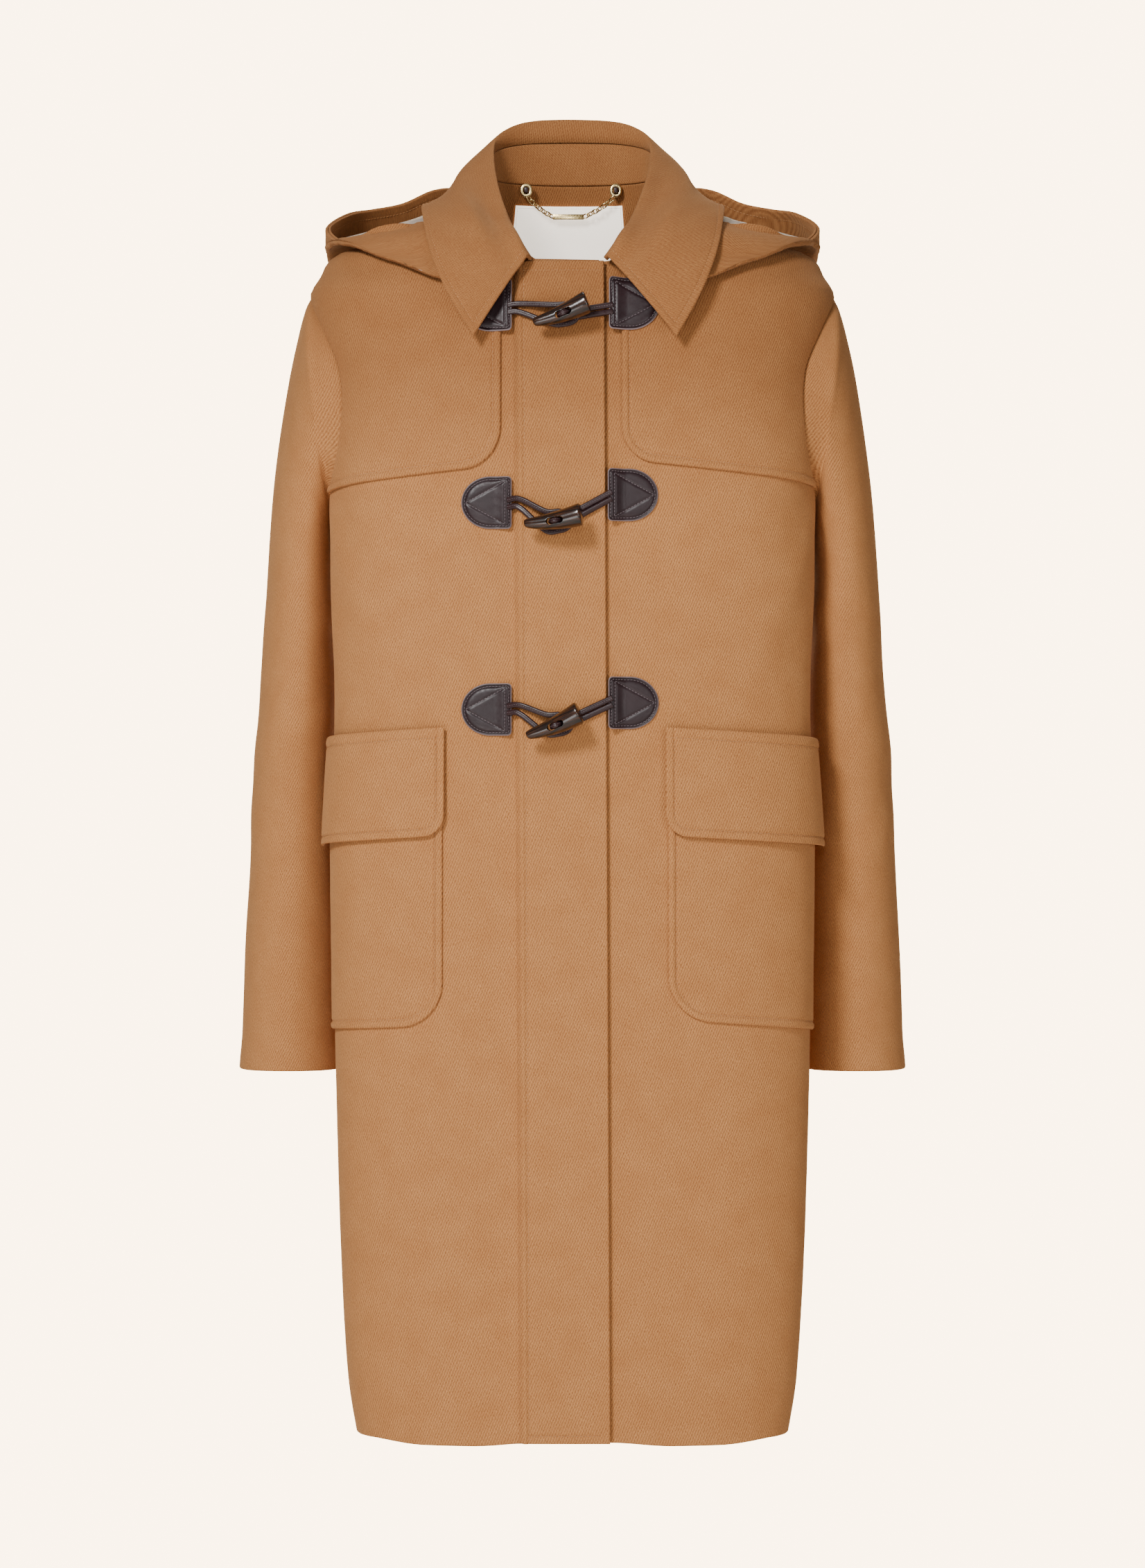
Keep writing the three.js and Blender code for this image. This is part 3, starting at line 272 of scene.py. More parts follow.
# How far out a point is at its height: 1 on the body's ring, less inside it.
def ringShare(points):
    x, y, z = np.moveaxis(points, -1, 0)
    widest = level["widest"](z)
    inFront = y < widest
    reach = np.abs(np.where(inFront, level["front"](z), level["back"](z)) - widest)
    power = np.where(inFront, level["frontPower"](z), level["backPower"](z))
    across = np.abs(x) / level["halfWidth"](z)
    return (across ** power + (np.abs(y - widest) / reach) ** power) ** (1 / power)


def ringSlope(points):
    steps = np.eye(3)
    return np.stack([(ringShare(points + s) - ringShare(points - s)) / 2 for s in steps], axis=-1)


# Moves points out along the nearest cloth's normal until they stand clear of it.
def standClear(points, clearance):
    foot = points.copy()
    for _ in range(8):
        slope = ringSlope(foot)
        foot += slope * ((1 - ringShare(foot)) / (slope ** 2).sum(-1))[..., None]
    normal = unit(ringSlope(foot))
    away = ((points - foot) * normal).sum(-1)
    return points + normal * np.maximum(clearance - away, 0)[..., None]


# Shares along a side of a given length, close together near both ends for the edge and its stitching.
def spread(length, step, start=True, end=True):
    fine = np.array([0, 0.25, 0.7, 1.3, 2.2, 3.4, 4.6, 5.4, 6.0, 6.6, 7.6])
    middle = np.linspace(10, length - 10, max(int((length - 20) / step), 2))
    low = fine if start else np.array([0, 5.0])
    high = fine if end else np.array([0, 5.0])
    return np.concatenate([low, middle, length - high[::-1]]) / length


def fieldOf(rows, columns):
    return np.meshgrid(rows, columns, indexing="ij")


# Each point's distance from a line of straight stretches.
def fromLine(points, line):
    nearest = np.full(len(points), 1e9)
    for a, b in zip(line[:-1], line[1:]):
        ab = b - a
        t = np.clip(((points - a) @ ab) / max(ab @ ab, 1e-9), 0, 1)
        nearest = np.minimum(nearest, np.linalg.norm(points - a - t[:, None] * ab, axis=1))
    return nearest


# Half the cloth's thickness at a distance in from its edge: a half circle at the edge.
def roundedHalf(distance, thick):
    r = thick / 2
    inward = np.clip(r - distance, 0, r)
    return np.sqrt(np.maximum(r * r - inward * inward, (0.15 * r) ** 2))


def gridNormals(points, wrapped=False):
    if wrapped:
        across = np.roll(points, -1, axis=1) - np.roll(points, 1, axis=1)
    else:
        across = np.gradient(points, axis=1)
    return unit(np.cross(across, np.gradient(points, axis=0)))


# Meshes.
def meshPiece(name, points, faces, uv=None, uvFaces=None):
    mesh = bpy.data.meshes.new(name)
    corners = np.concatenate([np.asarray(part).reshape(-1) for part in faces]).astype(np.int32)
    totals = np.concatenate([np.full(len(part), part.shape[1]) for part in faces]).astype(np.int32)
    mesh.vertices.add(len(points))
    mesh.vertices.foreach_set("co", (np.asarray(points) * mm).astype(np.float32).ravel())
    mesh.loops.add(len(corners))
    mesh.loops.foreach_set("vertex_index", corners)
    mesh.polygons.add(len(totals))
    mesh.polygons.foreach_set("loop_start", (np.cumsum(totals) - totals).astype(np.int32))
    mesh.polygons.foreach_set("loop_total", totals)
    mesh.update(calc_edges=True)
    if uv is not None:
        places = corners if uvFaces is None else np.concatenate([part.reshape(-1) for part in uvFaces])
        layer = mesh.uv_layers.new(name="cloth")
        layer.data.foreach_set("uv", (np.asarray(uv)[places] * mm).astype(np.float32).ravel())
    mesh.polygons.foreach_set("use_smooth", np.ones(len(totals), bool))
    piece = bpy.data.objects.new(name, mesh)
    bpy.context.scene.collection.objects.link(piece)
    return piece


def signedVolume(points, quads):
    a, b, c, d = (points[quads[:, k]] for k in range(4))
    return (a * np.cross(b, c)).sum() + (a * np.cross(c, d)).sum()


# A closed wall between an outer and an inner grid of points. A wrapped wall is a tube.
def wallPiece(name, outer, inner, uv, wrapped=False):
    rows, columns = outer.shape[:2]
    under = rows * columns
    uvColumns = uv.shape[1]

    def facesOf(index, shift):
        a, b, c, d = index[:-1, :-1], index[:-1, 1:], index[1:, 1:], index[1:, :-1]
        outside = np.stack([a, b, c, d], axis=-1).reshape(-1, 4)
        lines = [index[0, ::-1], index[-1]]
        if not wrapped:
            lines += [index[:, 0], index[::-1, -1]]
        rims = [np.stack([n[:-1], n[1:], n[1:] + shift, n[:-1] + shift], axis=-1) for n in lines]
        return np.concatenate([outside, outside[:, ::-1] + shift] + rims)

    index = np.arange(under).reshape(rows, columns)
    if wrapped:
        index = np.concatenate([index, index[:, :1]], axis=1)
    faces = facesOf(index, under)
    uvFaces = facesOf(np.arange(rows * uvColumns).reshape(rows, uvColumns), 0)
    points = np.concatenate([outer.reshape(-1, 3), inner.reshape(-1, 3)])
    if signedVolume(points, faces) < 0:
        faces, uvFaces = faces[:, ::-1], uvFaces[:, ::-1]
    return meshPiece(name, points, [faces], uv.reshape(-1, 2), [uvFaces])


# The cut of a piece: its longest row and column, and the area of its outer side.
def cutOf(outer, wrapped=False):
    if wrapped:
        outer = np.concatenate([outer, outer[:, :1]], axis=1)
    across = np.linalg.norm(np.diff(outer, axis=1), axis=-1).sum(axis=1).max()
    along = np.linalg.norm(np.diff(outer, axis=0), axis=-1).sum(axis=0).max()
    first = np.cross(outer[:-1, 1:] - outer[:-1, :-1], outer[1:, 1:] - outer[:-1, :-1])
    second = np.cross(outer[1:, 1:] - outer[:-1, :-1], outer[1:, :-1] - outer[:-1, :-1])
    area = (np.linalg.norm(first, axis=-1) + np.linalg.norm(second, axis=-1)).sum() / 2
    return across * mm, along * mm, min(area * mm * mm, across * along * mm * mm)


# Rides the body, stands for its node and takes its material; declare prints the cut of its sheet.
def settle(piece, slotName, material, *nodes):
    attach(piece, body)
    if nodes:
        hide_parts(*nodes)
    piece.data.materials.append(material)
    return piece


def declare(piece, outer, held, restsOn, wrapped=False):
    across, along, area = cutOf(outer, wrapped)
    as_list(restsOn)
    print(f"cut {piece.name} {across:.3f} x {along:.3f} m, area {area:.4f}")


# Stitches: small capsules of thread along a line, each lying on its normal.
def stitching(name, runs, thread, material, slotName):
    turn = np.linspace(0, 2 * math.pi, 6, endpoint=False)
    along = np.array([-0.92, -0.5, 0.5, 0.92])
    wide = np.array([0.45, 1.0, 1.0, 0.45])
    across = np.concatenate([np.outer(wide, np.cos(turn)).ravel(), [0, 0]])
    high = np.concatenate([np.outer(wide, np.sin(turn)).ravel(), [0, 0]])
    length = np.concatenate([np.repeat(along, 6), [-1, 1]])
    ring = np.arange(6)
    following = (ring + 1) % 6
    quads = np.concatenate([
        np.stack([k * 6 + ring, k * 6 + following, k * 6 + 6 + following, k * 6 + 6 + ring], axis=-1)
        for k in range(3)
    ])
    caps = np.concatenate([
        np.stack([np.full(6, 24), following, ring], axis=-1),
        np.stack([np.full(6, 25), 18 + ring, 18 + following], axis=-1),
    ])
    points, quadList, capList, made = [], [], [], 0
    for line, normals in runs:
        walked = np.concatenate([[0], np.cumsum(np.linalg.norm(np.diff(line, axis=0), axis=1))])
        count = int(walked[-1] / thread["pitch"])
        if count < 1:
            continue
        centres = (np.arange(count) + 0.5) * walked[-1] / count

        def at(values, places):
            return np.stack([np.interp(places, walked, values[:, k]) for k in range(3)], axis=-1)

        half = thread["length"] / 2
        tangent = unit(at(line, centres + half) - at(line, centres - half))
        normal = at(normals, centres)
        normal = unit(normal - tangent * (normal * tangent).sum(-1, keepdims=True))
        side = np.cross(tangent, normal)
        middle = at(line, centres) + normal * thread["sink"]
        r = thread["radius"]
        capsule = (
            middle[:, None]
            + tangent[:, None] * (length * half)[None, :, None]
            + side[:, None] * (across * r)[None, :, None]
            + normal[:, None] * (high * r)[None, :, None]
        )
        shift = (made + np.arange(count) * 26)[:, None, None]
        points.append(capsule.reshape(-1, 3))
        quadList.append((quads[None] + shift).reshape(-1, 4))
        capList.append((caps[None] + shift).reshape(-1, 3))
        made += count * 26
    faces = [np.concatenate(quadList)[:, ::-1], np.concatenate(capList)[:, ::-1]]
    piece = meshPiece(name, np.concatenate(points), faces)
    return settle(piece, slotName, material)


# A line a set distance inside another, in the cloth's flat measure, without what comes too near.
def insideLine(line, inset, side, whole=None):
    tangent = unit(np.gradient(line, axis=0))
    moved = line + side * inset * np.stack([-tangent[:, 1], tangent[:, 0]], axis=-1)
    limit = line if whole is None else whole
    return moved[fromLine(moved, limit) > inset * 0.985]


# Materials: nodes with their values or links in one call.
def add(tree, kind, inputs=None, **settings):
    made = tree.nodes.new("ShaderNode" + kind)
    for name, value in settings.items():
        setattr(made, name, value)
    for key, value in (inputs or {}).items():
        if isinstance(value, bpy.types.NodeSocket):
            tree.links.new(value, made.inputs[key])
        else:
            made.inputs[key].default_value = value
    return made


def sums(tree, operation, a, b=0.0, c=0.0):
    return add(tree, "Math", {0: a, 1: b, 2: c}, operation=operation).outputs[0]


def linear(red, green, blue):
    parts = [c / 255 for c in (red, green, blue)]
    return [c / 12.92 if c <= 0.04045 else ((c + 0.055) / 1.055) ** 2.4 for c in parts] + [1.0]


def blended(tree, a, b, share):
    made = add(tree, "Mix", data_type="RGBA")
    for key, value in ((0, share), (6, a), (7, b)):
        if isinstance(value, bpy.types.NodeSocket):
            tree.links.new(value, made.inputs[key])
        else:
            made.inputs[key].default_value = value
    return made.outputs[2]


def newGroup(name, inputs, outputs):
    group = bpy.data.node_groups.new(name, "ShaderNodeTree")
    for label, kind in inputs:
        group.interface.new_socket(label, in_out="INPUT", socket_type="NodeSocket" + kind)
    for label, kind in outputs:
        group.interface.new_socket(label, in_out="OUTPUT", socket_type="NodeSocket" + kind)
    return group, group.nodes.new("NodeGroupInput"), group.nodes.new("NodeGroupOutput")


# Flat cloth coordinates turned so that s runs across the twill lines and t along them, in mm:
# s = x sin a - y cos a, t = x cos a + y sin a.
def makeTurnGroup():
    group, given, result = newGroup("turnedCloth", [("Angle", "Float")], [("Across", "Float"), ("Along", "Float")])
    uv = add(group, "UVMap", uv_map="cloth").outputs[0]
    parts = add(group, "SeparateXYZ", {0: uv})
    x = sums(group, "MULTIPLY", parts.outputs[0], 1000)
    y = sums(group, "MULTIPLY", parts.outputs[1], 1000)
    sine = sums(group, "SINE", given.outputs[0])
    cosine = sums(group, "COSINE", given.outputs[0])
    across = sums(group, "SUBTRACT", sums(group, "MULTIPLY", x, sine), sums(group, "MULTIPLY", y, cosine))
    along = sums(group, "ADD", sums(group, "MULTIPLY", x, cosine), sums(group, "MULTIPLY", y, sine))
    group.links.new(across, result.inputs[0])
    group.links.new(along, result.inputs[1])
    return group


turnGroup = makeTurnGroup()
twill = {"pitch": 1.85, "warp": 0.55, "yarn": 2.6}


# Napped twill: lines of yarn a pitch apart, broken up along themselves, under a haze of fibres.
def makeTwillGroup():
    group, given, result = newGroup(
        "nappedTwill", [("Angle", "Float")], [("Tone", "Float"), ("Height", "Float"), ("Mottle", "Float")]
    )
    turned = group.nodes.new("ShaderNodeGroup")
    turned.node_tree = turnGroup
    group.links.new(given.outputs[0], turned.inputs[0])
    across, along = turned.outputs
    flat = add(group, "CombineXYZ", {0: across, 1: along}).outputs[0]
    drift = add(group, "TexNoise", {"Vector": flat, "Scale": 0.35, "Detail": 2.0}).outputs[0]
    warped = sums(group, "MULTIPLY_ADD", drift, 2 * twill["warp"], across)
    phase = sums(group, "MULTIPLY", warped, 2 * math.pi / twill["pitch"])
    line = sums(group, "MULTIPLY_ADD", sums(group, "SINE", phase), 0.5, 0.5)
    rung = sums(group, "MULTIPLY", along, 2 * math.pi / twill["yarn"])
    yarn = sums(group, "SINE", sums(group, "ADD", rung, sums(group, "MULTIPLY", phase, 0.5)))
    yarn = sums(group, "MULTIPLY_ADD", yarn, 0.5, 0.5)
    stretched = add(group, "CombineXYZ", {0: across, 1: sums(group, "MULTIPLY", along, 0.35)}).outputs[0]
    fibre = add(group, "TexNoise", {"Vector": stretched, "Scale": 1.6, "Detail": 4.0, "Roughness": 0.7}).outputs[0]
    haze = add(group, "TexNoise", {"Vector": flat, "Scale": 0.8, "Detail": 5.0, "Roughness": 0.75}).outputs[0]
    mottle = add(group, "TexNoise", {"Vector": flat, "Scale": 0.045, "Detail": 3.0}).outputs[0]
    woven = sums(group, "MULTIPLY_ADD", yarn, 0.25, sums(group, "MULTIPLY", line, 0.75))
    tone = sums(group, "MULTIPLY_ADD", woven, 0.26, sums(group, "MULTIPLY", fibre, 0.7))
    tone = sums(group, "MULTIPLY_ADD", haze, 0.5, tone)
    height = sums(group, "MULTIPLY_ADD", woven, 0.55, sums(group, "MULTIPLY", fibre, 0.7))
    height = sums(group, "MULTIPLY_ADD", haze, 0.6, height)
    for k, value in enumerate((tone, height, mottle)):
        group.links.new(value, result.inputs[k])
    return group


twillGroup = makeTwillGroup()
woolColours = {"dark": linear(118, 66, 30), "light": linear(222, 158, 98), "deep": linear(150, 90, 44)}


def startMaterial(name):
    material = bpy.data.materials.new(name)
    material.use_nodes = True
    tree = material.node_tree
    tree.nodes.clear()
    shader = add(tree, "BsdfPrincipled")
    surface = add(tree, "OutputMaterial")
    tree.links.new(shader.outputs[0], surface.inputs[0])
    return material, tree, shader


def groupNode(tree, group, **inputs):
    made = tree.nodes.new("ShaderNodeGroup")
    made.node_tree = group
    for key, value in inputs.items():
        made.inputs[key].default_value = value
    return made


# Painted shade: the wool is darkened over the shoulders, standing in for light that falls off towards the top:
# the colour times a share that falls from 1 at the chest to a stated share at the yokes.
paintedShoulderShade = {"low": -0.25, "high": -0.1, "share": 0.64}


def woolMaterial(name, degrees, shadedShare=paintedShoulderShade["share"]):
    material, tree, shader = startMaterial(name)
    cloth = groupNode(tree, twillGroup, Angle=math.radians(degrees))
    tone = add(tree, "MapRange", {0: cloth.outputs[0], 1: 0.42, 2: 1.02}).outputs[0]
    colour = blended(tree, woolColours["dark"], woolColours["light"], tone)
    cloud = add(tree, "MapRange", {0: cloth.outputs[2], 1: 0.35, 2: 0.7, 3: 0.0, 4: 0.22}).outputs[0]
    colour = blended(tree, colour, woolColours["deep"], cloud)
    # Painted shade: the colour is blended towards a dark brown higher up, for the light falling off there.
    height = add(tree, "SeparateXYZ", {0: add(tree, "TexCoord").outputs["Object"]}).outputs[2]
    paintedShade = add(tree, "MapRange", {0: height, 1: paintedShoulderShade["low"], 2: paintedShoulderShade["high"], 3: 0.0, 4: 1.0 - shadedShare},
              interpolation_type="SMOOTHSTEP").outputs[0]
    colour = blended(tree, colour, linear(92, 44, 14), paintedShade)
    bump = add(tree, "Bump", {"Height": cloth.outputs[1], "Strength": 0.6, "Distance": 0.0006})
    tree.links.new(colour, shader.inputs["Base Color"])
    tree.links.new(bump.outputs[0], shader.inputs["Normal"])
    shader.inputs["Roughness"].default_value = 0.9
    shader.inputs["Specular IOR Level"].default_value = 0.2
    shader.inputs["Sheen Weight"].default_value = 0.22
    shader.inputs["Sheen Roughness"].default_value = 0.45
    shader.inputs["Sheen Tint"].default_value = linear(236, 190, 140)
    return material


# The lining: a plain window check of wide pale bands and single and double lines on beige.
windowCheck = {"repeat": 62.0, "band": 15.0, "line": 1.6, "lineAt": 34.0, "secondAt": 40.0}


def bandMask(tree, value, start, width):
    cell = sums(tree, "WRAP", value, windowCheck["repeat"], 0.0)
    above = sums(tree, "GREATER_THAN", cell, start)
    below = sums(tree, "LESS_THAN", cell, start + width)
    return sums(tree, "MULTIPLY", above, below)


def liningMaterial():
    material, tree, shader = startMaterial("liningCheck")
    turned = groupNode(tree, turnGroup, Angle=math.radians(52))
    weave = add(tree, "TexNoise", {
        "Vector": add(tree, "CombineXYZ", {0: turned.outputs[0], 1: turned.outputs[1]}).outputs[0],
        "Scale": 2.2, "Detail": 3.0,
    }).outputs[0]
    colour = blended(tree, linear(196, 174, 146), linear(212, 192, 166), weave)
    for value in turned.outputs:
        band = sums(tree, "MULTIPLY", bandMask(tree, value, 0.0, windowCheck["band"]), 0.55)
        colour = blended(tree, colour, linear(146, 134, 134), band)
    for value in turned.outputs:
        for start in (windowCheck["lineAt"], windowCheck["secondAt"]):
            mark = sums(tree, "MULTIPLY", bandMask(tree, value, start, windowCheck["line"]), 0.85)
            colour = blended(tree, colour, linear(74, 58, 66), mark)
    bump = add(tree, "Bump", {"Height": weave, "Strength": 0.2, "Distance": 0.0002})
    tree.links.new(colour, shader.inputs["Base Color"])
    tree.links.new(bump.outputs[0], shader.inputs["Normal"])
    shader.inputs["Roughness"].default_value = 0.55
    shader.inputs["Sheen Weight"].default_value = 0.1
    return material


# Leather: small cells and soft creases over a deep brown, paler where it is rubbed.
def leatherMaterial(name, dark, light, roughness, rawEdge=False):
    material, tree, shader = startMaterial(name)
    place = add(tree, "TexCoord").outputs["Object"]
    cells = add(tree, "TexVoronoi", {"Vector": place, "Scale": 1300.0}, feature="DISTANCE_TO_EDGE").outputs[0]
    creases = add(tree, "TexNoise", {"Vector": place, "Scale": 420.0, "Detail": 5.0}).outputs[0]
    cloud = add(tree, "TexNoise", {"Vector": place, "Scale": 60.0, "Detail": 2.0}).outputs[0]
    colour = blended(tree, dark, light, cloud)
    if rawEdge:
        inward = add(tree, "SeparateXYZ", {0: add(tree, "UVMap", uv_map="cloth").outputs[0]}).outputs[0]
        raw = add(tree, "MapRange", {0: inward, 1: 0.0002, 2: 0.0009, 3: 0.85, 4: 0.0}).outputs[0]
        colour = blended(tree, colour, linear(150, 132, 134), raw)
    tree.links.new(colour, shader.inputs["Base Color"])
    rough = add(tree, "MapRange", {0: creases, 1: 0.3, 2: 0.7, 3: roughness - 0.07, 4: roughness + 0.09}).outputs[0]
    tree.links.new(rough, shader.inputs["Roughness"])
    height = sums(tree, "MULTIPLY_ADD", creases, 0.6, sums(tree, "MULTIPLY", cells, 0.8))
    bump = add(tree, "Bump", {"Height": height, "Strength": 0.25, "Distance": 0.0003})
    tree.links.new(bump.outputs[0], shader.inputs["Normal"])
    shader.inputs["Specular IOR Level"].default_value = 0.4
    return material


# Horn: streaks that run along the toggle, near black to amber, under a polish.
def hornMaterial():
    material, tree, shader = startMaterial("darkHorn")
    parts = add(tree, "SeparateXYZ", {0: add(tree, "UVMap", uv_map="cloth").outputs[0]})
    along = sums(tree, "MULTIPLY", parts.outputs[0], 55.0)
    across = sums(tree, "MULTIPLY", parts.outputs[1], 900.0)
    streaked = add(tree, "CombineXYZ", {0: along, 1: across}).outputs[0]
    streak = add(tree, "TexNoise", {"Vector": streaked, "Scale": 1.0, "Detail": 4.0, "Distortion": 0.6}).outputs[0]
    share = add(tree, "MapRange", {0: streak, 1: 0.42, 2: 0.72}).outputs[0]
    colour = blended(tree, linear(16, 9, 7), linear(74, 40, 20), share)
    tree.links.new(colour, shader.inputs["Base Color"])
    shader.inputs["Roughness"].default_value = 0.22
    shader.inputs["Coat Weight"].default_value = 0.3
    shader.inputs["Coat Roughness"].default_value = 0.1
    return material


def metalMaterial():
    material, tree, shader = startMaterial("paleBrass")
    place = add(tree, "TexCoord").outputs["Object"]
    wear = add(tree, "TexNoise", {"Vector": place, "Scale": 900.0, "Detail": 3.0}).outputs[0]
    rough = add(tree, "MapRange", {0: wear, 1: 0.3, 2: 0.7, 3: 0.18, 4: 0.34}).outputs[0]
    tree.links.new(blended(tree, linear(206, 176, 112), linear(232, 210, 158), wear), shader.inputs["Base Color"])
    tree.links.new(rough, shader.inputs["Roughness"])
    shader.inputs["Metallic"].default_value = 1.0
    return material


def satinMaterial():
    material, tree, shader = startMaterial("labelSatin")
    turned = groupNode(tree, turnGroup, Angle=0.0)
    rib = sums(tree, "SINE", sums(tree, "MULTIPLY", turned.outputs[0], 2 * math.pi / 0.9))
    rib = sums(tree, "MULTIPLY_ADD", rib, 0.5, 0.5)
    tree.links.new(blended(tree, linear(246, 236, 222), linear(254, 247, 236), rib), shader.inputs["Base Color"])
    bump = add(tree, "Bump", {"Height": rib, "Strength": 0.15, "Distance": 0.0002})
    tree.links.new(bump.outputs[0], shader.inputs["Normal"])
    shader.inputs["Roughness"].default_value = 0.5
    # Painted light: the label glows faintly, standing in for light reaching into the neck.
    shader.inputs["Emission Color"].default_value = linear(248, 236, 220)
    shader.inputs["Emission Strength"].default_value = 1.5
    return material


def threadMaterial(name, dark, light):
    material, tree, shader = startMaterial(name)
    place = add(tree, "TexCoord").outputs["Object"]
    ply = add(tree, "TexNoise", {"Vector": place, "Scale": 2400.0}).outputs[0]
    tree.links.new(blended(tree, dark, light, ply), shader.inputs["Base Color"])
    shader.inputs["Roughness"].default_value = 0.6
    return material


woolBody = woolMaterial("woolTwillBody", 68)
woolCollar = woolMaterial("woolTwillCollar", 80)
woolHood = woolMaterial("woolTwillHood", 112)
woolSleeve = woolMaterial("woolTwillSleeve", 62, 0.82)
lining = liningMaterial()
patchLeather = leatherMaterial("patchLeather", linear(30, 18, 21), linear(46, 29, 33), 0.4, rawEdge=True)
thongLeather = leatherMaterial("thongLeather", linear(38, 22, 24), linear(54, 34, 36), 0.32)
horn = hornMaterial()
brass = metalMaterial()
satin = satinMaterial()
woolThread = threadMaterial("woolThread", linear(140, 90, 48), linear(205, 152, 100))
leatherThread = threadMaterial("leatherThread", linear(62, 50, 54), linear(128, 114, 118))
satinThread = threadMaterial("satinThread", linear(214, 206, 190), linear(240, 236, 226))
topThread = {"pitch": 3.1, "length": 2.3, "radius": 0.27, "sink": -0.08}
print("materials made")


# Soft folds of the fronts and the back, each a long low ridge:
# high exp(-(across/wide)^2 - (along/run)^2), leaning by so many degrees from upright.
frontFolds = table("around z run wide lean high", [
    (196, -262, 80, 13, 32, 2.2),
    (206, -318, 90, 16, 14, 1.8),
    (150, -300, 110, 26, 6, 1.0),
    (-196, -266, 80, 13, -32, 2.2),
    (-206, -322, 90, 16, -14, 1.8),
    (-148, -305, 110, 26, -6, 1.0),
    (118, -780, 150, 30, 3, 1.2),
    (-120, -790, 150, 34, -4, 1.2),
    (60, -700, 190, 22, 2, 0.8),
    (-84, -690, 190, 20, -2, 0.8),
])
backFolds = table("around z run wide lean high", [
    (0, -620, 260, 26, 0, 2.6),
    (92, -700, 220, 28, 4, 2.4),
    (-92, -700, 220, 28, -4, 2.4),
    (150, -300, 90, 20, 22, 2.4),
    (-150, -300, 90, 20, -22, 2.4),
    (48, -330, 120, 24, 5, 1.4),
    (-52, -340, 120, 24, -5, 1.4),
])


def drape(folds, around, z):
    total = 0.5 * lumps(around, z, 150, 11)
    for fold in folds:
        lean = math.radians(fold["lean"])
        da = around - fold["around"]
        dz = z - fold["z"]
        across = da * math.cos(lean) - dz * math.sin(lean)
        along = da * math.sin(lean) + dz * math.cos(lean)
        total = total + fold["high"] * np.exp(-(across / fold["wide"]) ** 2 - (along / fold["run"]) ** 2)
    return total


# Cloth on the body: its edges are round, stitching sinks a groove along the edges it is told.
groove = {"inset": 6.0, "deep": 0.95, "wide": 0.8, "puff": 0.75}


def bodyCloth(around, z, base, thick, stitched=(), folds=frontFolds, place=bodyAt, drapeAt=None):
    flat = np.stack([around, z], axis=-1)
    points = flat.reshape(-1, 2)
    sides = {"bottom": flat[0], "top": flat[-1], "left": flat[:, 0], "right": flat[:, -1]}
    edge = np.minimum.reduce([fromLine(points, line) for line in sides.values()]).reshape(z.shape)
    half = roundedHalf(edge, thick)
    relief = 0.12 * lumps(around, z, 26, 5)
    if stitched:
        near = np.minimum.reduce([fromLine(points, sides[name]) for name in stitched]).reshape(z.shape)
        relief = relief - groove["deep"] * np.exp(-((near - groove["inset"]) / groove["wide"]) ** 2)
        relief = relief + groove["puff"] * np.exp(-((near - groove["inset"] / 2) / 2.2) ** 2)
    lean = drape(folds, around if drapeAt is None else drapeAt, z)
    middle = base + thick / 2 + lean
    return place(around, z, middle + half + relief), place(around, z, middle - half), flat


def seamRun(line, base, folds=frontFolds, place=bodyAt):
    around, z = line[:, 0], line[:, 1]
    lift = base + drape(folds, around, z) - groove["deep"] * 0.6
    here = place(around, z, lift)
    return here, unit(place(around, z, lift + 1) - here)


# Camera first: the photograph is level, from in front, at about waist height.
cameraPlace = {"back": 3.5, "height": -0.449, "seen": 1.2215, "sensor": 36.0}


def makeCamera():
    data = bpy.data.cameras.new("camera")
    data.sensor_fit = "VERTICAL"
    data.sensor_height = cameraPlace["sensor"]
    data.lens = cameraPlace["sensor"] * cameraPlace["back"] / cameraPlace["seen"]
    data.clip_end = 100
    made = bpy.data.objects.new("camera", data)
    made.location = (0, -cameraPlace["back"], cameraPlace["height"])
    made.rotation_euler = (math.pi / 2, 0, 0)
    bpy.context.scene.collection.objects.link(made)
    bpy.context.scene.camera = made


makeCamera()


# The fronts and the back.
armholeMiddle = (armhole["topZ"] + armhole["bottomZ"]) / 2
armholeHalf = (armhole["topZ"] - armhole["bottomZ"]) / 2


def armholeCut(z, cut):
    height = np.clip((z - armholeMiddle) / armholeHalf, -1, 1)
    return cut * np.sqrt(1 - height * height)


def frontEdge(z):
    return sideAt(z) - armholeCut(z, armhole["frontCut"]) - seamGap / 2


def backEdge(z):
    return wholeAt(z) - sideAt(z) - armholeCut(z, armhole["backCut"]) - seamGap / 2


lap = {"underEdge": -18, "underTop": 22, "overEdge": -20, "rampFrom": -46, "rampTo": -33, "step": 3.2}
underArm = np.linspace(0, math.pi, 60)
armholeRows = armholeMiddle - armholeHalf * np.cos(underArm)
lowerRows = hemZ + (armhole["bottomZ"] - 4 - hemZ) * spread(706, 6, True, False)
shoulderRows = np.concatenate([np.linspace(-41.5, -33, 10), np.linspace(-31.5, neckBackZ, 26)])
panelRows = np.unique(np.concatenate([
    lowerRows, armholeRows, shoulderRows, [neckFrontZ - 3, neckFrontZ - 1.5, neckFrontZ, neckFrontZ + 0.5],
]))


def lapLift(x):
    return lap["step"] * smooth(x, lap["rampFrom"], lap["rampTo"])


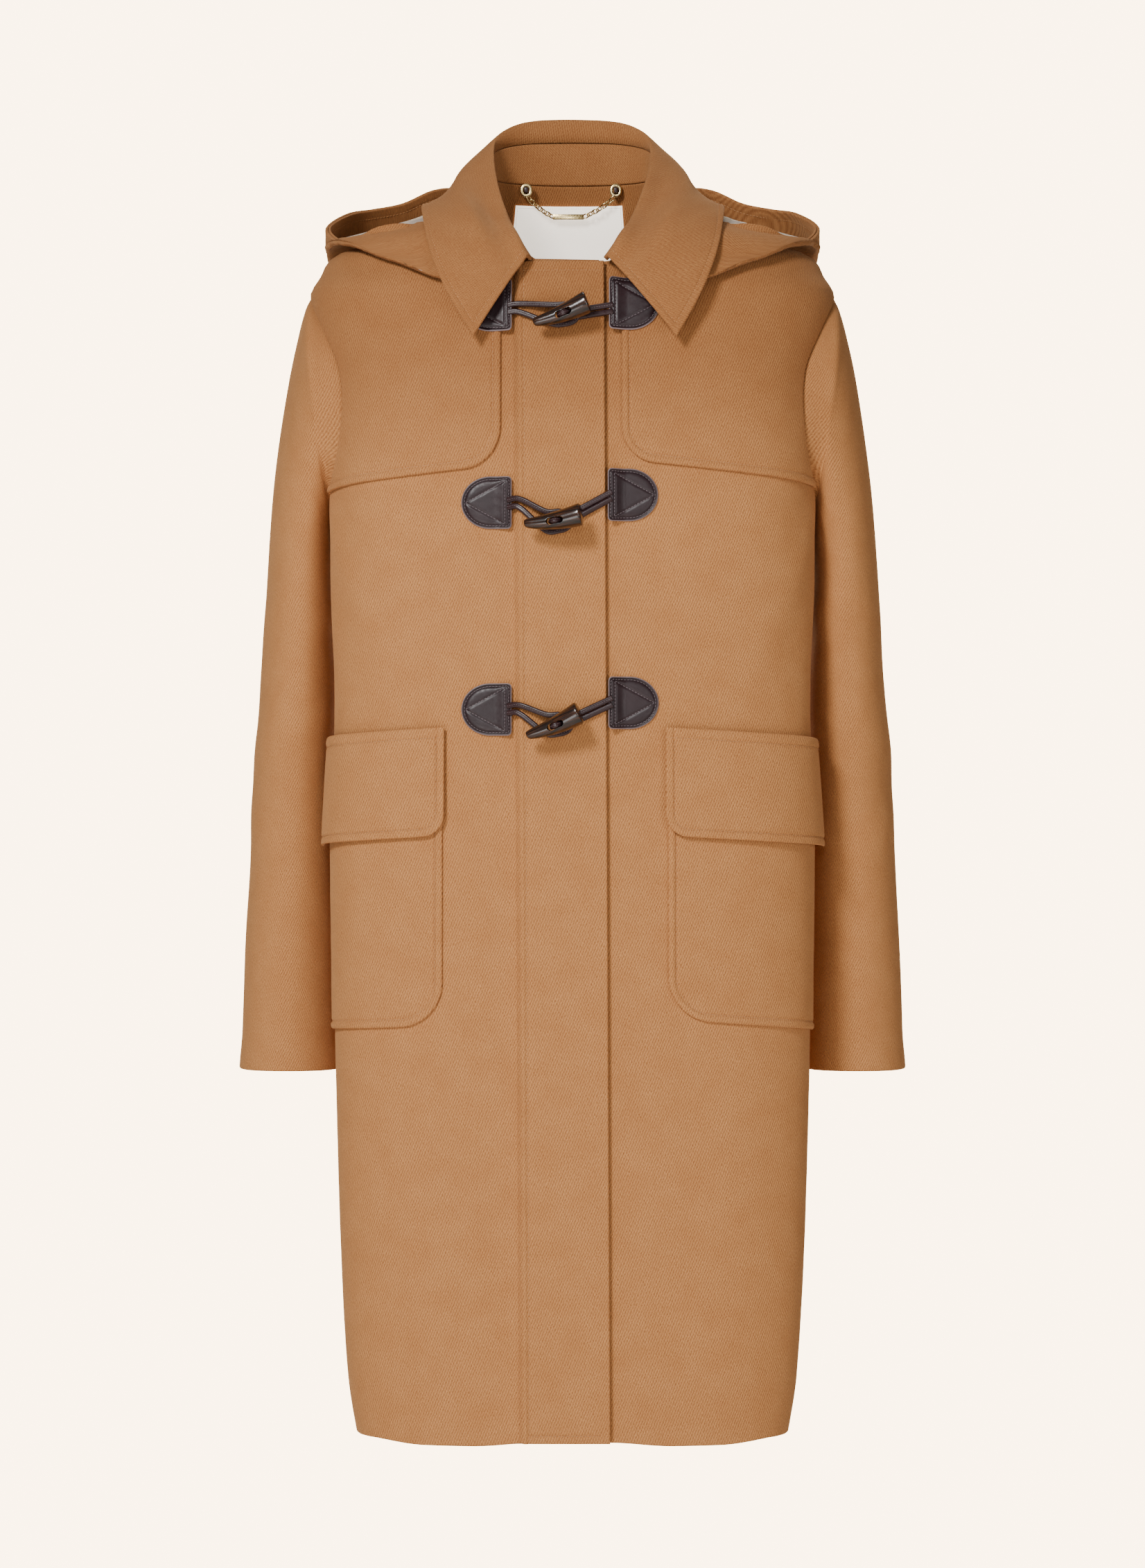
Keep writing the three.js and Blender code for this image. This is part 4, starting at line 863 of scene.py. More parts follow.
def makeFront(name, side, middleEdge, topEdge, lifted):
    z, u = fieldOf(panelRows[panelRows < neckBackZ - 1], spread(290, 6.5))
    z = z - hemDrop * smooth(-z, 870, -hemZ) * smooth(u, 0.2, 0.42) * smooth(1 - u, 0.22, 0.42)
    neck = aroundAt(necklineHalfWidth(z), z)
    below = mix(middleEdge, topEdge, smooth(z, neckFrontZ - 3, neckFrontZ))
    start = np.where(z > neckFrontZ, neck, below)
    around = side * mix(start, frontEdge(z), u)
    base = (lapLift(around) if lifted else 0.0) - wool
    outer, inner, flat = bodyCloth(around, z, base, wool)
    piece = settle(wallPiece(name, outer, inner, flat), "wool", woolBody, name)
    declare(piece, outer, "hung", ["yoke_right" if side < 0 else "yoke_left"])


def makeBack():
    z, u = fieldOf(panelRows, spread(400, 7.5))
    fromBack = backEdge(z) * (2 * u - 1)
    outer, inner, flat = bodyCloth(fromBack, z, -wool, wool, folds=backFolds, place=backAt)
    piece = settle(wallPiece("back_panel", outer, inner, flat * [-1, 1]), "wool", woolBody, "back_panel")
    declare(piece, outer, "hung", ["hood_shell"])


makeFront("front_left", 1, lap["underEdge"], lap["underTop"], False)
makeFront("front_right", -1, lap["overEdge"], lap["overEdge"], True)
makeBack()
print("panels made")


# The placket strip: a ridge along its left edge, a fold on its right, two seams, a hem line.
placket = {
    "left": -45, "right": 23.7, "hemShift": 4.6, "topZ": -55, "base": 3.4, "thick": 2.6,
    "ridgeTo": 8.2, "topSeam": 8.0, "hemSeam": 6.0,
}
placketTop = placket["base"] + placket["thick"]


def lean(z):
    return placket["hemShift"] * (neckFrontZ - z) / (neckFrontZ - hemZ)


def placketLift(x):
    return lapLift(x) - lap["step"] + placketTop


def makePlacket():
    width = placket["right"] - placket["left"]
    height = placket["topZ"] - hemZ
    v, u = fieldOf(spread(height, 5), spread(width, 2.6))
    z = hemZ + height * v
    x = placket["left"] + width * u + lean(z)
    across = width * u
    edge = np.minimum(np.minimum(across, width - across), np.minimum(z - hemZ, placket["topZ"] - z))
    half = roundedHalf(edge, placket["thick"])
    seams = [placket["topZ"] - z - placket["topSeam"]]
    relief = 0.12 * lumps(x, z, 26, 5) + 1.3 * np.exp(-((across - placket["ridgeTo"] / 2 - 0.4) / 3.2) ** 2)
    for distance in seams:
        relief = relief - 1.0 * np.exp(-(distance / 0.9) ** 2)
    relief = relief - 1.3 * np.exp(-((across - placket["ridgeTo"]) / 1.3) ** 2)
    hemLine = (z - hemZ - placket["hemSeam"]) / 0.8
    inside = smooth(across, placket["ridgeTo"], placket["ridgeTo"] + 2) * smooth(width - across, 5, 8)
    relief = relief - 0.7 * np.exp(-hemLine ** 2) * inside
    middle = lapLift(x) - lap["step"] + placket["base"] + placket["thick"] / 2 + drape(frontFolds, x, z)
    middle = middle - 2.4 * (1 - smooth(across, 0, 5))
    outer = frontAt(x, z, middle + half + relief)
    inner = frontAt(x, z, middle - half)
    piece = settle(wallPiece("front_placket", outer, inner, np.stack([x, z], -1)), "wool", woolBody, "front_placket")

    def run(acrossLine, zLine):
        xLine = placket["left"] + acrossLine + lean(zLine)
        lift = placketLift(xLine) + drape(frontFolds, xLine, zLine) - 0.45
        here = frontAt(xLine, zLine, lift)
        return here, unit(frontAt(xLine, zLine, lift + 1) - here)

    rise = np.linspace(hemZ + 3, placket["topZ"] - 3, 300)
    cross = np.linspace(4, width - 3, 40)
    short = np.linspace(placket["ridgeTo"] + 1, width - 7, 40)
    runs = [
        run(np.full(300, placket["ridgeTo"]), rise),
        run(cross, np.full(40, placket["topZ"] - placket["topSeam"])),
        run(short, np.full(40, hemZ + placket["hemSeam"])),
    ]
    thread = stitching("front_placket_stitching", runs, topThread, woolThread, "wool")
    declare(piece, outer, "laid", ["front_right"])


makePlacket()


# The shoulder yokes, with one round lower corner each, and topstitching inside their free edges.
yokes = table("side name inner bottomInner bottomOuter corner", [
    (-1, "yoke_right", 54, -209, -226, 30),
    (1, "yoke_left", 37, -205, -222, 26),
])
yokeBase = 0.15
yokeThick = 2.7


def cornerRise(inward, radius):
    left = np.clip(radius - inward, 0, radius)
    return radius - np.sqrt(radius * radius - left * left)


def makeYoke(yoke):
    inner, corner = yoke["inner"], yoke["corner"]
    columns = np.unique(np.concatenate([spread(150, 4), 1 - np.cos(np.linspace(0, 1, 14) * 0.6)]))
    v, u = fieldOf(spread(190, 3.2), columns)
    bottom = mix(yoke["bottomInner"], yoke["bottomOuter"], u)
    width = frontEdge(yoke["bottomOuter"] + 0 * u) - inner
    lowest = bottom + cornerRise(width * u, corner)
    top = 12.0
    z = lowest + (top - lowest) * v
    neck = np.where(z > neckFrontZ, aroundAt(necklineHalfWidth(z), z) + 2.5, 0)
    start = np.maximum(inner, neck)
    around = yoke["side"] * mix(start, frontEdge(z) - 0.4, u)
    outer, innerSide, flat = bodyCloth(around, z, yokeBase, yokeThick, ("bottom", "left"))
    piece = settle(wallPiece(yoke["name"], outer, innerSide, flat), "wool", woolBody, yoke["name"])
    free = np.concatenate([flat[::-1, 0], flat[0, 1:]])
    line = insideLine(free, groove["inset"], yoke["side"], free)
    line = line[line[:, 1] < -75]
    runs = [seamRun(line, yokeBase + yokeThick)]
    thread = stitching(yoke["name"] + "_stitching", runs, topThread, woolThread, "wool")
    declare(piece, outer, "laid", ["front_right" if yoke["side"] < 0 else "front_left"])


for yoke in yokes:
    makeYoke(yoke)
print("yokes made")


# The patch pockets and their flaps.
pockets = table("side name inner width bottomZ outerDrop", [
    (-1, "right", 98, 144, -631, 7),
    (1, "left", 72, 150, -626, 12),
])
pocketTopZ = -414
pocketCorner = 32
pocketBase = 0.2
pocketThick = 2.3
flap = {
    "topZ": -406, "outerTopDrop": 9, "height": 82, "outerDrop": 9, "corner": 16, "flare": 5,
    "base": 3.0, "thick": 2.6, "topSeam": 8.0,
}


def makePocket(pocket):
    width, side = pocket["width"], pocket["side"]
    columns = np.unique(np.concatenate([spread(width, 3.5), np.linspace(0, 0.24, 22) ** 1.5]))
    v, u = fieldOf(spread(214, 3.2, True, False), columns)
    bottom = pocket["bottomZ"] - pocket["outerDrop"] * u + cornerRise(width * u, pocketCorner)
    z = bottom + (pocketTopZ - bottom) * v
    around = side * (pocket["inner"] + width * u)
    outer, inner, flat = bodyCloth(around, z, pocketBase, pocketThick, ("bottom", "left"))
    name = "pocket_" + pocket["name"]
    piece = settle(wallPiece(name, outer, inner, flat), "wool", woolBody, name)
    free = np.concatenate([flat[::-1, 0], flat[0, 1:]])
    line = insideLine(free, groove["inset"], side, free)
    thread = stitching(name + "_stitching", [seamRun(line, pocketBase + pocketThick)], topThread, woolThread, "wool")
    declare(piece, outer, "laid", ["front_" + pocket["name"]])


def makeFlap(pocket):
    width, side = pocket["width"] + 2, pocket["side"]
    columns = np.unique(np.concatenate([spread(width, 3), np.linspace(0, 0.12, 14) ** 1.4]))
    v, u = fieldOf(spread(82, 2.4), columns)
    top = flap["topZ"] - flap["outerTopDrop"] * u
    rise = cornerRise(width * u, flap["corner"])
    bottom = flap["topZ"] - flap["height"] - flap["outerDrop"] * u + rise
    z = bottom + (top - bottom) * v
    around = side * (pocket["inner"] - 2 + width * u)
    flat = np.stack([around, z], axis=-1)
    points = flat.reshape(-1, 2)
    free = np.concatenate([flat[::-1, 0], flat[0, 1:], flat[:, -1]])
    edge = np.minimum(fromLine(points, free), fromLine(points, flat[-1])).reshape(z.shape)
    near = fromLine(points, free[: len(flat[:, 0]) + len(flat[0]) - 1]).reshape(z.shape)
    fromTop = fromLine(points, flat[-1]).reshape(z.shape)
    out = flap["flare"] * (1 - v) * (0.35 + 0.65 * u ** 3)
    relief = 0.15 * lumps(around, z, 24, 5)
    relief = relief - groove["deep"] * np.exp(-((near - groove["inset"]) / groove["wide"]) ** 2)
    relief = relief - 0.9 * np.exp(-((fromTop - flap["topSeam"]) / 1.0) ** 2)
    relief = relief + 0.5 * np.exp(-((fromTop - flap["topSeam"] / 2) / 2.5) ** 2)
    middle = flap["base"] + flap["thick"] / 2 + out + drape(frontFolds, around, z)
    half = roundedHalf(edge, flap["thick"])
    outer = bodyAt(around, z, middle + half + relief)
    inner = bodyAt(around, z, middle - half)
    name = "pocket_flap_" + pocket["name"]
    piece = settle(wallPiece(name, outer, inner, flat), "wool", woolBody, name)

    def run(line):
        share = np.clip((line[:, 1] - bottom.min()) / (flap["topZ"] - bottom.min()), 0, 1)
        u1 = np.clip((side * line[:, 0] - pocket["inner"] + 2) / width, 0, 1)
        lift = flap["base"] + flap["thick"] + flap["flare"] * (1 - share) * (0.35 + 0.65 * u1 ** 3)
        lift = lift + drape(frontFolds, line[:, 0], line[:, 1]) - 0.35
        here = bodyAt(line[:, 0], line[:, 1], lift)
        return here, unit(bodyAt(line[:, 0], line[:, 1], lift + 1) - here)

    lower = insideLine(free[: len(flat[:, 0]) + len(flat[0]) - 1], groove["inset"], side, free)
    lower = lower[lower[:, 1] < flap["topZ"] - flap["topSeam"] - 2]
    upper = flat[-1] - [0, flap["topSeam"]]
    thread = stitching(name + "_stitching", [run(lower), run(upper)], topThread, woolThread, "wool")
    declare(piece, outer, "hung", ["pocket_" + pocket["name"]])


for pocket in pockets:
    makePocket(pocket)
    makeFlap(pocket)
print("pockets made")


# Distances walked down the columns and across the rows of a grid of points.
def arcs(points):
    rows = np.linalg.norm(np.diff(points, axis=0), axis=-1)
    columns = np.linalg.norm(np.diff(points, axis=1), axis=-1)
    down = np.concatenate([np.zeros((1, points.shape[1])), np.cumsum(rows, axis=0)])
    across = np.concatenate([np.zeros((points.shape[0], 1)), np.cumsum(columns, axis=1)], axis=1)
    return down, across


# The sleeves: rings from the armhole's edge through the sections to the cuff.
def squared(value, power):
    return np.sign(value) * np.abs(value) ** (2 / power)


sleeveFolds = table("turn along run wide lean high", [
    (80, 175, 60, 14, 30, 2.0),
    (100, 260, 70, 16, 20, 2.0),
    (60, 360, 70, 18, -22, 1.6),
    (250, 240, 80, 16, -24, 2.2),
    (275, 340, 70, 18, 16, 1.8),
    (20, 300, 70, 18, 10, 1.2),
    (150, 150, 50, 14, 40, 1.6),
])
sleeveRound = 360.0


# The sleeve's cloth laid flat with its grain upright: how far out a point is, and how far back,
# u = x + (y - front) on the outer side and x - (y - front) on the inner, v = z.
def sleeveCloth(ring):
    x, y, z = np.moveaxis(ring, -1, 0)
    rising = sleeveSections[::-1]
    middleZ = [(row["outerZ"] + row["innerZ"]) / 2 for row in rising]
    outermost = np.interp(z, [row["outerZ"] for row in rising], [row["outerX"] for row in rising])
    middleX = np.interp(z, middleZ, [(row["outerX"] + row["innerX"]) / 2 for row in rising])
    middleY = np.interp(z, middleZ, [row["middle"] for row in rising])
    frontY = middleY - np.interp(z, middleZ, [row["depth"] / 2 for row in rising])
    folded = np.where(y < middleY, x, 2 * outermost - x)
    return np.stack([folded + (y - frontY) * np.tanh((x - middleX) / 10), z], axis=-1)


def makeSleeve(side, name):
    turns = np.linspace(math.pi, 3 * math.pi, 112, endpoint=False)
    armZ = armholeMiddle + armholeHalf * np.cos(turns)
    sine = np.sin(turns)
    cut = sine * np.where(sine > 0, armhole["frontCut"], armhole["backCut"])
    first = bodyAt(sideAt(armZ) - cut, armZ, 0.4)
    first[:, 0] += 0.5
    stations = [first]
    for row in sleeveSections:
        across = squared(np.cos(turns), sleeveSquareness)
        x = (row["outerX"] + row["innerX"]) / 2 + (row["outerX"] - row["innerX"]) / 2 * across
        z = (row["outerZ"] + row["innerZ"]) / 2 + (row["outerZ"] - row["innerZ"]) / 2 * across
        y = row["middle"] - squared(sine, sleeveSquareness) * row["depth"] / 2
        stations.append(np.stack([x, y, z], axis=-1))
    stations = np.array(stations)
    middles = stations.mean(axis=1)
    knots = np.concatenate([[0], np.cumsum(np.linalg.norm(np.diff(middles, axis=0), axis=1))])
    long = knots[-1]
    rows = np.concatenate([np.linspace(0, 0.04, 9)[:-1], mix(0.04, 1, spread(600, 5.5, False, True))])
    ring = through(knots, stations)(rows * long)
    normal = gridNormals(ring, wrapped=True)
    outward = ring - ring.mean(axis=1, keepdims=True)
    normal *= np.sign((normal * outward).sum(-1).mean())
    along = (rows * long)[:, None]
    turned = turns[None] * sleeveRound / (2 * math.pi)
    lift = 0.7 * lumps(turned, along, 120, 21 + side)
    for fold in sleeveFolds:
        lean = math.radians(fold["lean"])
        around = fold["turn"] * sleeveRound / 360
        da = (turned - around + sleeveRound / 2) % sleeveRound - sleeveRound / 2
        dl = along - fold["along"]
        across = da * math.sin(lean) + dl * math.cos(lean)
        onward = da * math.cos(lean) - dl * math.sin(lean)
        lift = lift + fold["high"] * np.exp(-(across / fold["wide"]) ** 2 - (onward / fold["run"]) ** 2)
    head = 1.2 * np.exp(-((along - 16) / 12) ** 2) * smooth(np.cos(turns)[None], -0.4, 0.4)
    settled = smooth(along, 0, 14) * smooth(long - along, 0, 30)
    half = roundedHalf(long - along, wool)
    middle = (lift - 1.2) * settled + head - wool / 2
    outer = ring + normal * (middle + half)[..., None]
    inner = ring + normal * (middle - half)[..., None]
    flip = np.array([side, 1, 1])
    uv = sleeveCloth(np.concatenate([ring, ring[:, :1]], axis=1)) * [side, 1]
    piece = wallPiece(name, outer * flip, inner * flip, uv, wrapped=True)
    settle(piece, "wool", woolSleeve, name)
    declare(piece, outer, "hung", ["front_right" if side < 0 else "front_left"], wrapped=True)


makeSleeve(-1, "sleeve_right")
makeSleeve(1, "sleeve_left")
print("sleeves made")


# The collar: a stand from the neckline to a seam, then a fall that rolls over and spreads.
collar = {
    "standThick": 3.0, "fallThick": 3.2, "standShare": 0.62, "bulge": 7, "clearance": 22.8,
    "tipClearance": 19, "rollShift": -4, "tipShift": 2, "middleY": -15, "bulgeOut": 0.6,
    "bulgeUp": 0.8, "tipBulge": 0.3, "tuck": 0.96, "standReach": 0.9, "tipFrom": 0.84,
    "frontFrom": 0.78, "frontTo": 0.94, "frontShare": 0.95, "rollPart": 0.4,
}
sideShare = 0.45
frontEase = 1.25
layGap = 0.7


def lineAt(rows, at):
    away = np.abs(at)
    parts = [readColumn(rows, "at", name)(away) for name in "xyz"]
    parts[0] = parts[0] * np.sign(at)
    return np.stack(parts, axis=-1)


def necklineAt(at, lift):
    away = np.abs(at)
    side = np.where(at < 0, -1, 1)
    backZ = np.full_like(away, neckBackZ)
    whole, toSide = wholeAt(backZ), sideAt(backZ)
    behind = bodyAt(side * (whole - (whole - toSide) * np.minimum(away / sideShare, 1)), backZ, lift)
    share = np.clip((away - sideShare) / (1 - sideShare), 0, 1)
    z = mix(neckBackZ, neckFrontZ, share ** frontEase)
    ahead = bodyAt(side * aroundAt(necklineHalfWidth(z), z), z, lift)
    return np.where((away <= sideShare)[..., None], behind, ahead)


def shiftedRoll(at):
    point = lineAt(rollLine, at)
    point[..., 0] += collar["rollShift"] * at ** 4
    return point


def standPoint(at, share):
    foot = necklineAt(at, -collar["standThick"] - layGap)
    foot[..., 2] += seamGap
    return mix(foot, shiftedRoll(at), collar["standShare"] * share[..., None])


def fallPoint(at, share):
    away = np.abs(at)
    roll = shiftedRoll(at)
    edge = lineAt(collarEdge, at)
    edge[..., 0] += collar["tipShift"] * at ** 4
    inside = mix(roll, standPoint(at, np.ones_like(at)), (-np.minimum(share, 0) * collar["tuck"])[..., None])
    out = np.stack([roll[..., 0], roll[..., 1] - collar["middleY"], 0 * at], axis=-1)
    bulge = collar["bulge"] * mix(1, collar["tipBulge"], away ** 3)
    swell = bulge * np.sin(math.pi * np.clip(share, 0, 1))
    point = mix(roll, edge, np.clip(share, 0, 1)[..., None]) + unit(out) * (swell * collar["bulgeOut"])[..., None]
    point[..., 2] += swell * collar["bulgeUp"]
    clearance = mix(collar["clearance"], collar["tipClearance"], smooth(away, collar["tipFrom"], 1))
    inFront = collar["frontShare"] * smooth(away, collar["frontFrom"], collar["frontTo"])
    clear = clearance * np.maximum(smooth(share, 0, collar["rollPart"]), inFront)
    return np.where((share < 0)[..., None], inside, standClear(point, clear))


def insideRun(points, normals, distances, inset, keep):
    line, up = [], []
    for values, own, normal, kept in zip(distances, points, normals, keep):
        if not kept:
            continue
        line.append([np.interp(inset, values, own[:, k]) for k in range(3)])
        up.append([np.interp(inset, values, normal[:, k]) for k in range(3)])
    return np.array(line), np.array(up)


def makeCollarFall():
    shares = np.array([-1, -0.62, -0.3, -0.1, 0.05, 0.2, 0.4, 0.6, 0.8, 1.0])
    columns = 2 * spread(700, 4) - 1
    share, at = fieldOf(shares, columns)
    stations = fallPoint(at, share)
    keepEnds = smooth(1 - np.abs(at), 0.03, 0.12)[..., None]
    for _ in range(30):
        evened = stations.copy()
        evened[:, 1:-1] = (stations[:, :-2] + 2 * stations[:, 1:-1] + stations[:, 2:]) / 4
        stations = mix(stations, evened, keepEnds)
    down, _ = arcs(stations)
    knots = down.mean(axis=1)
    rows = knots[-1] * spread(knots[-1], 2.2, False, True)
    upper = through(knots, stations)(rows)
    normal = gridNormals(upper)
    out = upper - upper.mean(axis=(0, 1))
    normal *= np.sign((normal * out).sum(-1).mean())
    down, across = arcs(upper)
    toEdge = down[-1] - down
    toFront = np.minimum(across, across[:, -1:] - across)
    edge = np.minimum(toEdge, toFront)
    onLeaf = smooth(down / down[-1:], 0.3, 0.45)
    half = roundedHalf(np.minimum(edge, down + 0.3), collar["fallThick"])
    relief = 0.3 * lumps(across, down, 60, 31) - 0.7 * onLeaf * np.exp(-((edge - groove["inset"]) / 0.8) ** 2)
    middle = -collar["fallThick"] / 2
    outer = upper + normal * (middle + half + relief)[..., None]
    inner = upper + normal * (middle - half)[..., None]
    lay = math.radians(40) * smooth(-columns, 0.1, 0.6)[None]
    u, v = across - across[:, -1:] / 2, -down
    uv = np.stack([u * np.cos(lay) + v * np.sin(lay), v * np.cos(lay) - u * np.sin(lay)], axis=-1)
    piece = wallPiece("collar_fall", outer, inner, uv)
    settle(piece, "wool", woolCollar, "collar_fall")
    sunk = outer - normal * 0.1
    runs = []
    flipped = [np.swapaxes(a, 0, 1)[:, ::-1] for a in (sunk, normal)]
    clearOfEnds = toFront[-1] > groove["inset"]
    runs.append(insideRun(*flipped, toEdge.T[:, ::-1], groove["inset"], clearOfEnds))
    lower = (toEdge[:, 0] > groove["inset"]) & (down[:, 0] > 12)
    runs.append(insideRun(sunk, normal, across, groove["inset"], lower))
    runs.append(insideRun(sunk[:, ::-1], normal[:, ::-1], (across[:, -1:] - across)[:, ::-1], groove["inset"], lower))
    thread = stitching("collar_fall_stitching", runs, topThread, woolThread, "wool")
    declare(piece, outer, "folded", ["collar_stand"])


def makeCollarStand():
    reach = collar["standReach"]
    share, at = fieldOf(spread(30, 2), reach * (2 * spread(420, 5) - 1))
    points = standPoint(at, share)
    normal = gridNormals(points)
    outward = points - np.array([0, 0, 0])
    normal *= np.sign((normal * outward).sum(-1).mean())
    down, across = arcs(points)
    edge = np.minimum(np.minimum(down, down[-1] - down), np.minimum(across, across[:, -1:] - across))
    half = roundedHalf(edge, collar["standThick"])
    middle = collar["standThick"] / 2
    inside = points + normal * (middle - half)[..., None]
    outside = points + normal * (middle + half)[..., None]
    uv = np.stack([-across, down], axis=-1)
    piece = wallPiece("collar_stand", inside, outside, uv)
    settle(piece, "wool", woolBody, "collar_stand")
    declare(piece, inside, "hung", ["back_neck_facing"])


makeCollarStand()
makeCollarFall()
print("collar made")


# The hood: each column runs from the neck seam over the bag's floor, round and up to the rim.
hood = {"thick": 2.4, "liningThick": 1.0, "clearance": 10.9, "facingFrom": 0.7}
hoodShoulder = {"at": 0.5, "spread": 0.12, "extra": 4}


def hoodGrid(rows, columns):
    lines = [hoodNeck, hoodFloor, hoodBottom, hoodOuter, hoodRim]
    stations = np.array([lineAt(line, columns) for line in lines])
    points = through(np.linspace(0, 1, 5), stations)(rows)
    extra = hoodShoulder["extra"] * np.exp(-((np.abs(columns) - hoodShoulder["at"]) / hoodShoulder["spread"]) ** 2)
    return standClear(points, np.broadcast_to(hood["clearance"] + extra, points.shape[:2]))


def makeHood():
    columns = 2 * spread(900, 7) - 1
    rows = spread(420, 4, False, True)
    upper = hoodGrid(rows, columns)
    normal = gridNormals(upper)
    middleColumn = len(columns) // 2
    if normal[len(rows) // 4, middleColumn, 1] < 0:
        normal = -normal
    down, across = arcs(upper)
    toRim = down[-1] - down
    toFront = np.minimum(across, across[:, -1:] - across)
    edge = np.minimum(toRim, np.minimum(down + 0.3, toFront))
    relief = -0.5 * np.exp(-((toRim - 7.5) / 0.9) ** 2)
    lumpy = 0.5 * lumps(across, down, 90, 41)
    uv = np.stack([across - across[:, -1:] / 2, down], axis=-1)

    def layer(name, node, low, high, base, thick, material, slotName, held, restsOn):
        keep = (rows >= low - 1e-9) & (rows <= high + 1e-9)
        own = edge[keep].copy()
        own = np.minimum(own, np.minimum(down[keep] - down[keep][0], down[keep][-1] - down[keep]) + 0.2)
        half = roundedHalf(own, thick)
        middle = base + thick / 2 + lumpy[keep]
        lifted = relief[keep] if slotName == "wool" else 0 * own
        outer = upper[keep] + normal[keep] * (middle + half + lifted)[..., None]
        inner = upper[keep] + normal[keep] * (middle - half)[..., None]
        cloth = uv[keep] if slotName == "wool" else outer[..., :2] + outer[..., 2:] * [0, 1]
        piece = settle(wallPiece(name, outer, inner, cloth), slotName, material, node)
        declare(piece, outer, held, restsOn)
        return outer

    layer("hood_shell", "hood_shell", 0, 1, -hood["thick"], hood["thick"], woolHood, "wool", "draped", ["back_panel"])
    top = 0.25
    layer("hood_lining", "hood_lining", 0.0, hood["facingFrom"], top, hood["liningThick"], lining, "lining",
          "laid", ["hood_shell"])
    layer("hood_facing", "hood_facing", hood["facingFrom"], 1, top, hood["liningThick"] + 0.8, woolHood, "wool",
          "laid", ["hood_shell"])
    rimRun = insideRun(
        np.swapaxes(upper + normal * (top + hood["liningThick"] + 0.7), 0, 1)[:, ::-1],
        np.swapaxes(normal, 0, 1)[:, ::-1], toRim.T[:, ::-1], 7.5, toFront[-1] > 4,
    )
    stitching("hood_rim_stitching", [rimRun], topThread, woolThread, "wool")


makeHood()
print("hood made")


# Inside the back neck: the facing and the bare label.
facing = {"halfWidth": 78, "topZ": 23.6, "bottomZ": -78, "thick": 1.5, "gap": 0.5}
label = {"left": -50, "right": 43, "topZ": 9, "bottomZ": -47, "thick": 0.6, "gap": 0.3}


def makeFacing():
    v, u = fieldOf(spread(120, 3), spread(156, 4))
    z = mix(facing["bottomZ"], facing["topZ"], v)
    fromBack = np.minimum(facing["halfWidth"], backEdge(z) - 2) * (2 * u - 1)
    base = -wool - facing["gap"] - facing["thick"]
    outer, inner, flat = bodyCloth(fromBack, z, base, facing["thick"], folds=backFolds, place=backAt)
    piece = settle(wallPiece("back_neck_facing", outer, inner, flat), "wool", woolBody, "back_neck_facing")
    declare(piece, outer, "laid", ["back_panel"])


def makeLabel():
    v, u = fieldOf(spread(56, 2), spread(93, 3))
    z = mix(label["bottomZ"], label["topZ"], v)
    across = mix(label["left"], label["right"], u)
    base = -wool - facing["gap"] - facing["thick"] - label["gap"] - label["thick"]
    edge = np.minimum(np.minimum(u, 1 - u) * 93, np.minimum(v, 1 - v) * 56)
    half = roundedHalf(edge, label["thick"])
    middle = base + label["thick"] / 2 + drape(backFolds, across, z) - 0.25 * (1 + lumps(across, z, 40, 3))
    outer = backAt(across, z, middle + half)
    inner = backAt(across, z, middle - half)
    flat = np.stack([across, z], axis=-1)
    piece = settle(wallPiece("neck_label", outer, inner, flat), "label", satin, "neck_label")
    inset = 1.6
    corners = np.array([
        (label["left"] + inset, label["bottomZ"]), (label["left"] + inset, label["topZ"] - inset),
        (label["right"] - inset, label["topZ"] - inset), (label["right"] - inset, label["bottomZ"]),
    ])
    line = np.concatenate([mix(a, b, np.linspace(0, 1, 30)[:, None]) for a, b in zip(corners[:-1], corners[1:])])
    lift = base - 0.55 + drape(backFolds, line[:, 0], line[:, 1])
    here = backAt(line[:, 0], line[:, 1], lift)
    up = unit(backAt(line[:, 0], line[:, 1], lift - 1) - here)
    fine = dict(topThread, pitch=1.7, length=1.3, radius=0.16)
    thread = stitching("neck_label_stitching", [(here, up)], fine, satinThread, "label")
    declare(piece, outer, "laid", ["back_neck_facing"])


makeFacing()
makeLabel()


# The fastenings: leather patches, thongs and horn toggles.
leather = {"thick": 1.8, "width": 38, "height": 39.5, "straightShare": 0.42, "edgeRamp": 14, "corner": 3}
thong = {"width": 4.4, "thick": 3.6}
fastenings = table(
    "name loopPatchZ togglePatchZ loopZ toggleCordZ tipX tipZ fatX fatZ onYoke togglePatchX", [
        ("top", -89, -88, -92, -92, -29.4, -108, 12, -93, True, 27.4),
        ("middle", -237.6, -231.8, -238.4, -232.4, -36, -254.2, 6.2, -247.6, False, 26.4),
        ("bottom", -393, -388, -393, -387, -34, -413.2, 6, -395.4, False, 26.8),
    ])
loopPatchX = -45.6
toggle = {
    "length": 44, "slotAt": 24, "slotLength": 13.4, "slotWidth": 5.2, "bend": 1.6,
    "tipLift": 22.6, "fatLift": 29,
}
toggleProfile = table("along radius", [
    (0, 0.0), (0.25, 1.6), (1.2, 2.9), (3.5, 3.7), (8, 4.5), (17, 5.8), (27, 7.0), (37, 8.1),
    (42, 8.5), (43.4, 8.2), (44, 7.2),
])
leatherThreadSize = {"pitch": 2.5, "length": 1.75, "radius": 0.3, "sink": 0.02}


